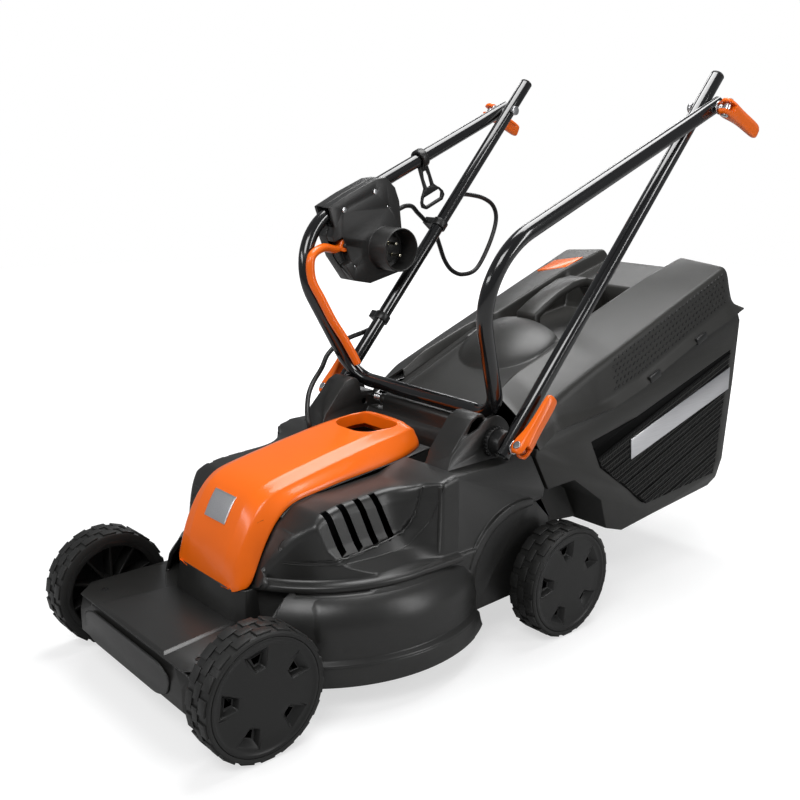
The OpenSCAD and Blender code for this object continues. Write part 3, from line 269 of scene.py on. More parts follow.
def softened(node, name, finish, width):
    """A copy of a CAD node with its triangles merged into whole faces and its edges rounded."""
    piece = copy_of(nodes[node], name)
    piece.data.materials.clear()
    piece.data.materials.append(finish)
    shape = bmesh.new()
    shape.from_mesh(piece.data)
    bmesh.ops.remove_doubles(shape, verts=shape.verts, dist=1e-5)
    bmesh.ops.dissolve_limit(shape, angle_limit=math.radians(SAME_FACE_ANGLE),
                             verts=shape.verts, edges=shape.edges)
    for face in shape.faces:
        face.material_index = 0
    shape.to_mesh(piece.data)
    shape.free()
    if width:
        settle(piece, bevel(width))
    else:
        shade(piece)
    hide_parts(node)
    return piece


def dress(rows):
    """Softened copies from rows of (node, name, finish, width of the rounding in metres, body)."""
    for node, name, finish, width, body in rows:
        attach(softened(node, name, finish, width), body)


# ---------------------------------------------------------------- finishes


def new_group(name, inputs, outputs):
    """A shader node group with named sockets: (name, kind, value) in, (name, kind) out."""
    group = bpy.data.node_groups.new(name, "ShaderNodeTree")
    for label, kind, value in inputs:
        socket = group.interface.new_socket(name=label, in_out="INPUT", socket_type=kind)
        socket.default_value = value
    for label, kind in outputs:
        group.interface.new_socket(name=label, in_out="OUTPUT", socket_type=kind)
    return group, group.nodes.new("NodeGroupInput"), group.nodes.new("NodeGroupOutput")


def shading_node(tree, kind, inputs, operation=None):
    """A shading node. Each input is a value, or the socket that feeds it."""
    node = tree.nodes.new("ShaderNode" + kind)
    if operation:
        node.operation = operation
    for place, value in inputs.items():
        if isinstance(value, bpy.types.NodeSocket):
            tree.links.new(value, node.inputs[place])
        else:
            node.inputs[place].default_value = value
    return node


def noise(tree, scale, detail, vector, roughness=0.5):
    return shading_node(tree, "TexNoise",
                        {"Scale": scale, "Detail": detail, "Roughness": roughness, "Vector": vector})


def object_place(tree):
    return tree.nodes.new("ShaderNodeTexCoord").outputs["Object"]


def finish_group(tree, end, colour, roughness, normal):
    for label, socket in (("Colour", colour), ("Roughness", roughness), ("Normal", normal)):
        tree.links.new(socket, end.inputs[label])


def moulded_skin():
    """Fine grain of a moulded or lacquered skin, with slow changes of shade and gloss over it."""
    group, start, end = new_group("moulded_skin", (
        ("Colour", "NodeSocketColor", (0.03, 0.03, 0.03, 1)), ("Shade", "NodeSocketFloat", 0.15),
        ("Gloss", "NodeSocketFloat", 0.4), ("Gloss Change", "NodeSocketFloat", 0.06),
        ("Grain Size", "NodeSocketFloat", 900.0), ("Grain Depth", "NodeSocketFloat", 0.1)),
        (("Colour", "NodeSocketColor"), ("Roughness", "NodeSocketFloat"), ("Normal", "NodeSocketVector")))
    place = object_place(group)
    value = start.outputs
    grain = noise(group, value["Grain Size"], 2, place)
    bump = shading_node(group, "Bump",
                        {"Distance": 0.0006, "Height": grain.outputs["Fac"],
                         "Strength": value["Grain Depth"]})
    slow = noise(group, 9, 3, place, 0.6)
    spread = shading_node(group, "MapRange",
                          {"From Min": 0.3, "From Max": 0.7, "To Min": -1, "Value": slow.outputs["Fac"]})
    shade_by = shading_node(group, "Math", {2: 1.0, 0: spread.outputs["Result"], 1: value["Shade"]},
                            "MULTIPLY_ADD")
    scale = shading_node(group, "VectorMath", {0: value["Colour"], "Scale": shade_by.outputs["Value"]},
                         "SCALE")
    fine = noise(group, 60, 4, place, 0.6)
    centre = shading_node(group, "Math", {1: 0.5, 0: fine.outputs["Fac"]}, "SUBTRACT")
    gloss = shading_node(group, "Math", {0: centre.outputs["Value"], 1: value["Gloss Change"],
                                         2: value["Gloss"]},
                         "MULTIPLY_ADD")
    finish_group(group, end, scale.outputs["Vector"], gloss.outputs["Value"], bump.outputs["Normal"])
    return group


def brushed_skin():
    """Fine straight brushing on bare metal, run along one axis."""
    group, start, end = new_group("brushed_skin", (
        ("Colour", "NodeSocketColor", (0.6, 0.6, 0.62, 1)), ("Gloss", "NodeSocketFloat", 0.3),
        ("Stretch", "NodeSocketVector", (20, 900, 900)), ("Depth", "NodeSocketFloat", 0.1)),
        (("Colour", "NodeSocketColor"), ("Roughness", "NodeSocketFloat"), ("Normal", "NodeSocketVector")))
    value = start.outputs
    run = shading_node(group, "VectorMath", {0: object_place(group), 1: value["Stretch"]}, "MULTIPLY")
    lines = noise(group, 1, 3, run.outputs["Vector"])
    bump = shading_node(group, "Bump",
                        {"Distance": 0.0003, "Height": lines.outputs["Fac"], "Strength": value["Depth"]})
    level = shading_node(group, "MapRange", {"To Min": 0.85, "To Max": 1.12, "Value": lines.outputs["Fac"]})
    scale = shading_node(group, "VectorMath", {0: value["Colour"], "Scale": level.outputs["Result"]}, "SCALE")
    rough = shading_node(group, "Math", {0: value["Gloss"], 1: level.outputs["Result"]}, "MULTIPLY")
    finish_group(group, end, scale.outputs["Vector"], rough.outputs["Value"], bump.outputs["Normal"])
    return group


MOULDED = moulded_skin()
BRUSHED = brushed_skin()


def finish_from(name, group, values, coat=0.0, coat_gloss=0.05, metal=0.0, gloss_level=0.5):
    """A material whose colour, roughness and normal come from a shared group with its own values."""
    material = bpy.data.materials.new(name)
    material.use_nodes = True
    tree = material.node_tree
    shader = tree.nodes["Principled BSDF"]
    skin = tree.nodes.new("ShaderNodeGroup")
    skin.node_tree = group
    for key, value in values.items():
        skin.inputs[key].default_value = value
    tree.links.new(skin.outputs["Colour"], shader.inputs["Base Color"])
    tree.links.new(skin.outputs["Roughness"], shader.inputs["Roughness"])
    tree.links.new(skin.outputs["Normal"], shader.inputs["Normal"])
    shader.inputs["Coat Weight"].default_value = coat
    shader.inputs["Coat Roughness"].default_value = coat_gloss
    shader.inputs["Metallic"].default_value = metal
    shader.inputs["Specular IOR Level"].default_value = gloss_level
    return material


def plastic(name, colour, gloss, grain=900.0, depth=0.1, shade=0.12, change=0.08, **more):
    return finish_from(name, MOULDED, {"Colour": (*colour, 1), "Gloss": gloss, "Grain Size": grain,
                                       "Grain Depth": depth, "Shade": shade, "Gloss Change": change}, **more)


def metal(name, colour, gloss, stretch=(900.0, 30.0, 900.0), depth=0.1):
    return finish_from(name, BRUSHED, {"Colour": (*colour, 1), "Gloss": gloss,
                                       "Stretch": stretch, "Depth": depth},
                       metal=1.0)


ORANGE = plastic("orange_gloss_plastic", (0.9, 0.148, 0.004), 0.3, 500.0, 0.04, 0.04, 0.06,
                 coat=0.25, coat_gloss=0.1,
                 gloss_level=0.35)
DECK = plastic("charcoal_deck_plastic", (0.0165, 0.0163, 0.0155), 0.33, 1500.0, 0.12, 0.12, 0.1)
CATCHER = plastic("warm_charcoal_plastic", (0.0185, 0.018, 0.016), 0.38, 1400.0, 0.16, 0.1, 0.1)
FLAP = plastic("flap_plastic", (0.02, 0.0198, 0.0185), 0.36, 1400.0, 0.14, 0.1, 0.1)
TYRE = plastic("tyre_rubber", (0.0125, 0.0125, 0.0118), 0.5, 1000.0, 0.24, 0.2, 0.1, gloss_level=0.4)
WHEEL = plastic("wheel_plastic", (0.0095, 0.0095, 0.009), 0.36, 1300.0, 0.12, 0.12, 0.08, gloss_level=0.4)
LACQUER = plastic("black_tube_lacquer", (0.004, 0.004, 0.0045), 0.16, 260.0, 0.02, 0.1, 0.04,
                  coat=0.6, coat_gloss=0.04)
BLACK = plastic("black_fitting_plastic", (0.0085, 0.0085, 0.0085), 0.36, 1200.0, 0.14, 0.15, 0.08)
SWITCH = plastic("grey_switch_plastic", (0.0215, 0.0215, 0.021), 0.36, 1300.0, 0.16, 0.1, 0.08)
# Near-black painted shade: the mesh's solid ground stands in for the dark seen through the real mesh's
# openings.
MESH_PAINTED_SHADE = plastic("mesh_painted_shade", (0.002, 0.002, 0.002), 0.7, 900.0, 0.2, 0.2, 0.1, gloss_level=0.12)
# Lighter than the catcher plastic: a painted highlight on the mesh's slanted ribs.
MESH_RIB_HIGHLIGHT = plastic("mesh_rib_painted_highlight", (0.04, 0.04, 0.037), 0.4, 1400.0, 0.1, 0.1, 0.1)
CORD = plastic("cable_rubber", (0.007, 0.007, 0.007), 0.4, 2000.0, 0.1, 0.1, 0.08)
STEEL = metal("bright_steel", (0.62, 0.62, 0.63), 0.26)
BLADE = metal("blade_steel", (0.42, 0.43, 0.45), 0.34, (25.0, 900.0, 900.0), 0.2)
BRASS = metal("plug_pin_metal", (0.72, 0.68, 0.55), 0.2, (30.0, 900.0, 900.0))
CAN = metal("motor_casing_metal", (0.3, 0.3, 0.32), 0.42, (900.0, 900.0, 20.0), 0.12)
PLATE = metal("silver_plate", (0.78, 0.78, 0.8), 0.34, (900.0, 24.0, 900.0), 0.06)

# ---------------------------------------------------------------- repeated shapes


def blocks_tree():
    """A box on every point of a mesh, turned as the point's turn attribute says."""
    tree = bpy.data.node_groups.new("blocks_on_points", "GeometryNodeTree")
    face = tree.interface
    face.new_socket(name="Points", in_out="INPUT", socket_type="NodeSocketGeometry")
    for label, value in (("Length", 0.01), ("Width", 0.01), ("Height", 0.01)):
        socket = face.new_socket(name=label, in_out="INPUT", socket_type="NodeSocketFloat")
        socket.default_value = value
    face.new_socket(name="Finish", in_out="INPUT", socket_type="NodeSocketMaterial")
    face.new_socket(name="Blocks", in_out="OUTPUT", socket_type="NodeSocketGeometry")
    node = tree.nodes.new
    link = tree.links.new
    start, end = node("NodeGroupInput"), node("NodeGroupOutput")
    size = node("ShaderNodeCombineXYZ")
    for axis, label in zip("XYZ", ("Length", "Width", "Height")):
        link(start.outputs[label], size.inputs[axis])
    box = node("GeometryNodeMeshCube")
    link(size.outputs["Vector"], box.inputs["Size"])
    turn = node("GeometryNodeInputNamedAttribute")
    turn.data_type = "FLOAT_VECTOR"
    turn.inputs["Name"].default_value = "turn"
    place = node("GeometryNodeInstanceOnPoints")
    link(start.outputs["Points"], place.inputs["Points"])
    link(box.outputs["Mesh"], place.inputs["Instance"])
    link(turn.outputs["Attribute"], place.inputs["Rotation"])
    real = node("GeometryNodeRealizeInstances")
    link(place.outputs["Instances"], real.inputs["Geometry"])
    coat = node("GeometryNodeSetMaterial")
    link(real.outputs["Geometry"], coat.inputs["Geometry"])
    link(start.outputs["Finish"], coat.inputs["Material"])
    link(coat.outputs["Geometry"], end.inputs["Blocks"])
    return tree


BLOCKS = blocks_tree()


def blocks(name, places, size, finish, edge=0.0):
    """Boxes of one size in millimetres at places given as (point, turn in radians)."""
    mesh = bpy.data.meshes.new(name)
    mesh.from_pydata([to_frame(place[0]) for place in places], [], [])
    turns = mesh.attributes.new("turn", "FLOAT_VECTOR", "POINT")
    for item, place in zip(turns.data, places):
        item.vector = place[1]
    piece = placed(name, mesh)
    modifier = piece.modifiers.new("blocks", "NODES")
    modifier.node_group = BLOCKS
    values = {"Length": size[0] * 0.001, "Width": size[1] * 0.001,
              "Height": size[2] * 0.001, "Finish": finish}
    for item in BLOCKS.interface.items_tree:
        if item.in_out == "INPUT" and item.name in values:
            modifier[item.identifier] = values[item.name]
    settle(piece, *([bevel(edge * 0.001, 2, 40)] if edge else []))
    return piece

# ---------------------------------------------------------------- wheels

WHEELS = {"fl": ("wheel_front_left", 1, 199, 0), "fr": ("wheel_front_right", -1, 199, 0),
          "rl": ("wheel_rear_left", 1, 216, 461), "rr": ("wheel_rear_right", -1, 216, 461)}
WHEEL_R = 75
TREAD_R = 73.3
TREAD_BLOCKS = 18
TYRE_LINE = [(67.2, 0.8), (70.5, 0.1), (72.3, 1.3), (72.9, 4), (72.9, 38), (72.2, 41), (70, 42), (63, 42),
             (63, 4.3), (67.2, 3.9), (67.2, 0.8)]
DISC_LINE = [(0.02, 1.2), (26, 1.2), (44, 1.5), (58, 2.2), (61.5, 1.7), (63.2, 0.6), (66.6, 0.5), (66.8, 3.6),
             (55.4, 3.8), (55.4, 11), (0.02, 11)]


def wheel_shapes():
    """The front left wheel's tyre and disc, with the wheel's outer face at X 0 and its axle at Y 0, Z 75."""
    def raised(rings):
        return [[(x, y, z + WHEEL_R) for x, y, z in ring] for ring in rings]
    carcass = add_piece("carcass", *loft(raised(lathe(TYRE_LINE, 120)), capped=False), TYRE, 35)
    parts = [carcass]
    for inward, wide, phase in ((8.6, 12.2, 0.0), (21.2, 10.6, 0.5), (34.0, 12.6, 0.0)):
        places = []
        for k in range(TREAD_BLOCKS):
            a = 2 * math.pi * (k + phase) / TREAD_BLOCKS
            places.append(((-inward, TREAD_R * math.sin(a), WHEEL_R + TREAD_R * math.cos(a)), (-a, 0, 0)))
        parts.append(blocks("tread_row", places, (wide, 17.5, 2.6), TYRE, 0.4))
    tyre = join("tyre", parts)
    shade(tyre, 35)
    disc = add_piece("disc", *loft(raised(lathe(DISC_LINE, 120))), WHEEL, 30)
    wells = []
    for k in range(5):
        a = math.radians(72 * k - 10)

        def spot(along, out, inward):
            return (-inward, out * math.sin(a) + along * math.cos(a),
                    WHEEL_R + out * math.cos(a) - along * math.sin(a))
        hole = [(-2, 38.5), (3, 38.5), (7.5, 47), (-4, 47)]
        for lip, floor, depth, name in (
                ([(-7, 33), (7, 33), (16.5, 59), (-16.5, 59)],
                 [(-4, 37), (4, 37), (8.5, 48), (-8.5, 48)], 9.2, "well"),
                (hole, hole, 14, "hole")):
            top = [spot(x, r, -1) for x, r in lip]
            low = [spot(x, r, depth) for x, r in floor]
            wells.append(add_piece(name, *loft([top, low]), WHEEL))
    for well in wells:
        cut(disc, well)
    settle(disc, bevel(0.0007, 2, 28), angle=35)
    return tyre, disc


def wheels():
    tyre, disc = wheel_shapes()
    for tag, (body, side, face, axle) in WHEELS.items():
        change = Matrix.Translation((side * face * 0.001, axle * 0.001, 0)) @ Matrix.Scale(side, 4, (1, 0, 0))
        for shape, kind in ((tyre, "tread"), (disc, "disc")):
            piece = copy_of(shape, f"{kind}_shape_{tag}", change, flip=side < 0)
            shade(piece, 35)
            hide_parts(f"{kind}_{tag}")
            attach(piece, body)
        rim = softened(f"wheel_{tag}", f"rim_{tag}", WHEEL, 0.0004)
        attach(rim, body)
    remove(tyre)
    remove(disc)


wheels()

# ---------------------------------------------------------------- motor cover

# Distance back, lower edge, crease, top, and the half widths at each.
COVER_ROWS = [(44, 131, 134, 137, 56, 50, 36), (46, 133, 148, 155, 65, 57, 41),
              (51, 136, 167, 175, 70, 60, 42), (62, 141, 192, 200, 75, 62, 44),
              (78, 176, 218, 228, 75, 62, 44), (98, 208, 236, 243, 75, 62, 44),
              (122, 226, 243, 250, 75, 62, 44), (155, 231, 249.5, 256.5, 75, 61.5, 43.5),
              (190, 236, 256, 263, 75, 61, 43), (220, 238.5, 261, 268, 74.5, 60.5, 42.5),
              (250, 241, 266, 273, 74, 60, 42), (275, 243.5, 269.4, 276.4, 73, 58.8, 40.5),
              (300, 246, 272, 279, 71, 57, 38), (326, 250, 274, 280, 64, 52, 34),
              (338, 251, 266, 270, 54, 46, 30)]
HAND_HOLE = [(-38, 270), (-43, 300), (-39, 317), (39, 317), (43, 300), (38, 270), (20, 259), (-20, 259)]


def cover_height(x, y):
    """Height of the cover's skin over a point."""
    crease, top = lookup(y, [(r[0], r[2]) for r in COVER_ROWS]), lookup(y, [(r[0], r[3]) for r in COVER_ROWS])
    wide = lookup(y, [(r[0], r[5]) for r in COVER_ROWS])
    narrow = lookup(y, [(r[0], r[6]) for r in COVER_ROWS])
    if abs(x) <= narrow:
        return top + 1.4 * (1 - (x / narrow) ** 2)
    return top + (crease - top) * min(1, (abs(x) - narrow) / (wide - narrow))


def cover():
    path = smooth_path([Vector(row[:3]) for row in COVER_ROWS], 2)
    more = smooth_path([Vector(row[3:6]) for row in COVER_ROWS], 2)
    last = smooth_path([Vector((row[6], 0, 0)) for row in COVER_ROWS], 2)
    rings = []
    for a, b, c in zip(path, more, last):
        y, low, crease = a
        top, foot, wide = b
        narrow = c.x
        half = [(foot, low + 0.5), (foot + 0.1, low + 3.5), (foot - 1.0, low + 6.5),
                (foot * 0.45 + wide * 0.55 + 1.2, low * 0.45 + crease * 0.55 + 1), (wide + 1.6, crease - 3.0),
                (wide + 0.2, crease - 0.4), (wide - 2.6, crease + 1.5), (narrow + 2.4, top - 1.4),
                (narrow + 0.6, top - 0.2),
                (narrow - 2.0, top + 0.3), (narrow * 0.5, top + 1.1)]
        half = [(x, max(z, low + 0.5)) for x, z in half]
        rings.append([(x, y, z) for x, z in half] + [(0, y, top + 1.4)]
                     + [(-x, y, z) for x, z in reversed(half)])
    points, faces = loft(rings, closed=False, capped=False)
    count = len(rings[0])
    faces.append(tuple(range(count)))
    faces.append(tuple((len(rings) - 1) * count + k for k in range(count)))
    shell = add_piece("cover_shell", points, faces, ORANGE)
    settle(shell, ("SUBSURF", {"levels": 1, "render_levels": 1}),
           ("SOLIDIFY", {"thickness": 0.0028, "offset": -1.0}))
    cut(shell, add_piece("foot_room", *slab([(0, 90), (0, 130), (46, 130), (66, 139), (66, 90)], -120, 120),
                         ORANGE))
    outline = round_corners(HAND_HOLE, 12, 6)
    hole = add_piece("hand_hole", *loft([[(p.x, p.y, z) for p in outline] for z in (262, 300)]), ORANGE)
    cut(shell, hole)
    lip = [(p.x, p.y, cover_height(p.x, p.y) - 1.2) for p in outline]
    rim = add_piece("hand_hole_rim", *loft(
        [[(p[0] * k, 288 + (p[1] - 288) * k, p[2] + h) for p in lip]
         for k, h in ((1.03, -1.2), (1.025, 0.9), (1.0, 1.5), (0.972, 0.9), (0.962, -1.2), (0.958, -14),
                      (0.99, -14.6),
                      (1.03, -12), (1.03, -1.2))], capped=False), ORANGE)
    piece = join("cover_skin", [shell, rim])
    shade(piece, 38)
    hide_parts("motor_cover")
    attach(piece, "deck")


cover()

def badge():
    """The plain plate that lies on the front slope of the cover."""
    skin = bpy.data.objects["cover_skin"]
    outward, upward = Vector((0, -0.88, 0.475)), Vector((0, 0.475, 0.88))
    wide, high, columns, rows, start_off, lift = 46, 35, 16, 12, 30, 0.9
    points = []
    for j in range(rows + 1):
        for i in range(columns + 1):
            start = (Vector((-wide / 2 + wide * i / columns, 71, 214))
                     + upward * (-high / 2 + high * j / rows) + outward * start_off)
            found, place, *_ = skin.ray_cast(to_frame(start), -outward)
            depth = (to_frame(start) - place).length * 1000 if found else start_off
            points.append(start - outward * (depth - lift))
    faces = grid_faces(columns, rows)
    plate = add_piece("badge_plate", points, faces, PLATE, 60)
    if plate.data.polygons[0].normal.y > 0:
        plate.data.flip_normals()
    settle(plate, ("SOLIDIFY", {"thickness": 0.0018, "offset": -1.0}), bevel(0.0003, 2, 50), angle=45)
    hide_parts("cover_badge")
    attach(plate, "deck")


badge()

# ---------------------------------------------------------------- cam levers

# Middle of the handle's lower and upper joint: distance back and height.
# The lower tubes lean back between them.
FOOT_Y, FOOT_Z = 376, 270
ELBOW_Y, ELBOW_Z = 731, 675.5
LEAN = math.atan2(ELBOW_Y - FOOT_Y, ELBOW_Z - FOOT_Z)
UPPER_LEVER_TURN = math.radians(115)
BARREL_HOLE_R = 5.3

LEVER_ROWS = [(-9.5, 0.5, 4.0, 8.5), (-8.2, 0.3, 7.2, 10.6), (-3, 0, 9.6, 11.8), (3, 0, 10, 12),
              (9, 0.6, 9.6, 12), (15, 1.6, 8.2, 11.6), (24, 2.6, 6.6, 10.8), (38, 3.4, 5.4, 10.4),
              (54, 3.8, 4.8, 10.6), (68, 4.0, 4.4, 10.4), (74, 4.0, 3.9, 9.4), (77.4, 4.0, 2.6, 7.0)]


def lever_shape():
    """A cam lever with its barrel along Y at the origin, its arm up Z and the tubes on its -X side."""
    rings = []
    for z, centre, hx, hy in LEVER_ROWS:
        ring = [(-1, -0.72), (-0.72, -1), (0.35, -1), (0.72, -0.86), (1.16, -0.3), (1.16, -0.18), (0.98, 0.5),
                (0.75, 0.9),
                (0.35, 1), (-0.72, 1), (-1, 0.72)]
        rings.append([(centre + hx * a, hy * b, z) for a, b in ring])
    lever = add_piece("lever", *loft(rings), ORANGE)
    settle(lever, ("SUBSURF", {"levels": 2, "render_levels": 2}))
    barrel = loft([[(BARREL_HOLE_R * c, y, BARREL_HOLE_R * s) for c, s in circle(32)] for y in (-20, 20)])
    slot = loft([[(-15, y, -15), (15, y, -15), (15, y, 5), (-15, y, 5)] for y in (-5, 5)])
    for name, shape in (("barrel_hole", barrel), ("bolt_slot", slot)):
        cut(lever, add_piece(name, *shape, ORANGE))
    mouth = [(-9, y, z) for y, z in ((-6, 26), (6, 26), (6.6, 66), (-6.6, 66))]
    floor = [(1.2, 0.8 * y, z) for y, z in ((-6, 28), (6, 28), (6.6, 64), (-6.6, 64))]
    cut(lever, add_piece("finger_hollow", *loft([mouth, floor]), ORANGE))
    settle(lever, bevel(0.0005, 2, 40), angle=40)
    return lever


def levers():
    shape = lever_shape()
    back_to_origin = Matrix.Translation((0, -AXLE_Y, 0))
    for tag, y, z, x, turn in (("lower", FOOT_Y, FOOT_Z, 198.6, LEAN),
                               ("upper", ELBOW_Y, ELBOW_Z, 219.6, UPPER_LEVER_TURN)):
        place = Matrix.Translation((0, y * 0.001 + AXLE_Y, z * 0.001)) @ Matrix.Rotation(-turn, 4, "X") \
            @ Matrix.Translation((x * 0.001, 0, 0)) @ back_to_origin
        left = copy_of(shape, f"cam_shape_{tag}_left", place)
        right = mirrored(left, f"cam_shape_{tag}_right")
        for piece, side in ((left, "left"), (right, "right")):
            shade(piece, 40)
            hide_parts(f"cam_{tag}_{side}")
            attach(piece, f"cam_{tag}_{side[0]}")
    remove(shape)


levers()

# ---------------------------------------------------------------- tubes and what they carry

GRIP_SLOPE = math.radians(22.4)
STRUT_X = 176.5
GRIP_X = 197.0
ARM_LENGTH = 466


def arc_corners(points, radii, steps):
    """A path whose inner corners are rounded to the given radii."""
    points = [Vector(p) for p in points]
    path = [points[0]]
    for i, radius in enumerate(radii, 1):
        here = points[i]
        u, v = (points[i - 1] - here).normalized(), (points[i + 1] - here).normalized()
        half = math.acos(max(-1, min(1, u.dot(v)))) / 2
        centre = here + (u + v).normalized() * radius / math.sin(half)
        spoke = here + u * radius / math.tan(half) - centre
        for k in range(steps + 1):
            a = (math.pi - 2 * half) * k / steps
            path.append(centre + spoke * math.cos(a) - u * radius * math.sin(a))
    path.append(points[-1])
    return path


def upper_tube():
    elbow = Vector((GRIP_X, ELBOW_Y, ELBOW_Z))
    bend = Vector((191, ELBOW_Y - ARM_LENGTH * math.cos(GRIP_SLOPE),
                   ELBOW_Z - ARM_LENGTH * math.sin(GRIP_SLOPE)))
    cross = Vector((146, 388, 298.6))
    arm = (bend - elbow).normalized()

    def far(p):
        return Vector((-p.x, p.y, p.z))
    start = elbow - arm * 15
    path = arc_corners([start, bend, cross, far(cross), far(bend), far(start)], [90, 48, 48, 90], 20)
    # the straight arms get stations of their own, so that their ends can flatten
    near = [start + (path[1] - start) * k / 24 for k in range(24)]
    path = near + path[1:-1] + [far(p) for p in reversed(near)]

    def thin(t):
        edge = min(t, 1 - t) * (len(path) - 1)
        return 0.86 + 0.14 * min(1, max(0, (edge - 2) / 2))
    return add_piece("upper_tube_shape", *loft(sweep(path, 10, 32, (1, 0, 0), thin)), LACQUER, 50)


def tubes():
    piece = upper_tube()
    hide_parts("upper_tube")
    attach(piece, "upper_handle")
    for side in ("left", "right"):
        tube = softened(f"lower_tube_{side}", f"strut_{side}", LACQUER, 0.0004)
        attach(tube, "lower_handle")
    dress((
        ("tube_plugs", "strut_plugs", BLACK, 0.0008, "lower_handle"),
        ("tube_feet", "strut_feet", BLACK, 0.0008, "lower_handle"),
        ("toothed_discs", "angle_discs", BLACK, 0.0004, "deck"),
        ("lower_bolts", "lower_bolt_set", STEEL, 0.0005, "deck"),
        ("upper_bolts", "upper_bolt_set", STEEL, 0.0005, "lower_handle"),
        ("cable_clips", "cord_clips", BLACK, 0.0008, "lower_handle"),
        ("cable_hook", "cord_hook", BLACK, 0.0014, "hook")))


tubes()


def bail():
    line = [(-186, 399, 484.5), (-184, 384, 480), (-172, 353, 485), (-163, 327, 474), (-160, 325, 444),
            (-153, 336, 416), (-146, 350, 384), (-139, 364, 358), (-130, 377, 328), (-127, 379, 320)]
    path = smooth_path(line, 8)
    rings = sweep(path, lambda t: 6.2 - 1.2 * abs(2 * t - 1) ** 6, 20, (1, 0, 0))
    bar = add_piece("bail_bar", *loft(rings), ORANGE, 60)
    ends = softened("bail_lever", "bail_hub", ORANGE, 0.0004)
    # only the hub on its pivot is kept from the CAD shape
    shape = bmesh.new()
    shape.from_mesh(ends.data)
    pivot = to_frame((-186, ELBOW_Y - 380 * math.cos(GRIP_SLOPE) + 50 * math.sin(GRIP_SLOPE),
                      ELBOW_Z - 380 * math.sin(GRIP_SLOPE) - 50 * math.cos(GRIP_SLOPE)))
    away = [v for v in shape.verts if (v.co - pivot).yz.length > 0.0115]
    bmesh.ops.delete(shape, geom=away, context="VERTS")
    loose = [e for e in shape.edges if e.is_boundary]
    bmesh.ops.holes_fill(shape, edges=loose, sides=0)
    shape.to_mesh(ends.data)
    shape.free()
    piece = join("bail_shape", [bar, ends])
    shade(piece, 50)
    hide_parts("bail_lever")
    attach(piece, "bail")


bail()

# ---------------------------------------------------------------- cables


def beside(up, off=7.0, out=14.0):
    """A point beside the right-hand lower tube: up along it, behind its axis and outside it."""
    return (-STRUT_X - out, FOOT_Y + up * math.sin(LEAN) + off * math.cos(LEAN),
            FOOT_Z + up * math.cos(LEAN) - off * math.sin(LEAN))


def in_box(x, y, z):
    """A point in the switch box's own axes."""
    return (-x, ELBOW_Y + y * math.cos(GRIP_SLOPE) - z * math.sin(GRIP_SLOPE),
            ELBOW_Z + y * math.sin(GRIP_SLOPE) + z * math.cos(GRIP_SLOPE))


def cables():
    switch = [in_box(185, -276, -48), in_box(185, -268, -48), in_box(185, -260, -48), (-187, 522, 535),
              (-191, 538, 533), (-196, 553, 523), beside(309, -18, 22.5), beside(309, -10, 22.5),
              beside(309, -0.2, 22.5)]
    handle = [beside(309, 0.2, 22.5), beside(309, 10, 22.5), beside(309, 18, 22.5), (-200, 604, 468),
              (-201, 616, 444), (-200, 632, 426), (-199, 655, 418), (-199, 686, 425), (-201, 716, 462),
              (-203, 733, 500), (-203, 726, 524), (-202, 702, 538), (-199, 668, 545), (-194, 642, 546),
              (-191, 622, 536), beside(334), beside(322), beside(310), beside(300), (-191, 565, 470),
              (-191, 552, 452), (-192, 540, 433), (-193, 524, 408), (-192, 506, 390), (-191, 489, 380),
              beside(145), beside(140), beside(135.2)]
    deck = [beside(134.8), beside(127), beside(120), (-191, 440, 350), (-191, 418, 346), (-190, 394, 340),
            (-181, 366, 328), (-164, 342, 314), (-149, 316, 300), (-138, 300, 288), (-128, 290, 276),
            (-119, 283, 266), (-112, 280, 256), (-110, 280, 246), (-110, 280, 226)]
    for route, name, node, bodies in ((switch, "cord_to_switch", "cable_switch",
                                       ("upper_handle", "lower_handle")),
                                      (handle, "cord_on_handle", "cable_handle", ("lower_handle",)),
                                      (deck, "cord_to_deck", "cable_deck", ("lower_handle", "deck"))):
        piece = add_piece(name, *loft(sweep(smooth_path(route, 6), 3.5, 16)), CORD, 60)
        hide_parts(node)
        if len(bodies) == 1:
            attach(piece, bodies[0])
        else:
            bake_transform(piece)


cables()

# ---------------------------------------------------------------- switch

dress((
    ("switch_box", "switch_front", SWITCH, 0.0012, "upper_handle"),
    ("switch_back", "switch_rear", SWITCH, 0.0014, "upper_handle"),
    ("switch_screws", "switch_rivets", STEEL, 0.0006, "upper_handle"),
    ("plug_pins", "plug_pin_pair", BRASS, 0.0007, "upper_handle"),
    ("lock_button", "lock_button_cap", ORANGE, 0.0012, "button")))

# ---------------------------------------------------------------- rear flap

SLOPE = math.tan(math.radians(22.8))


def flap_top(y):
    return 283 + SLOPE * (y - 400)


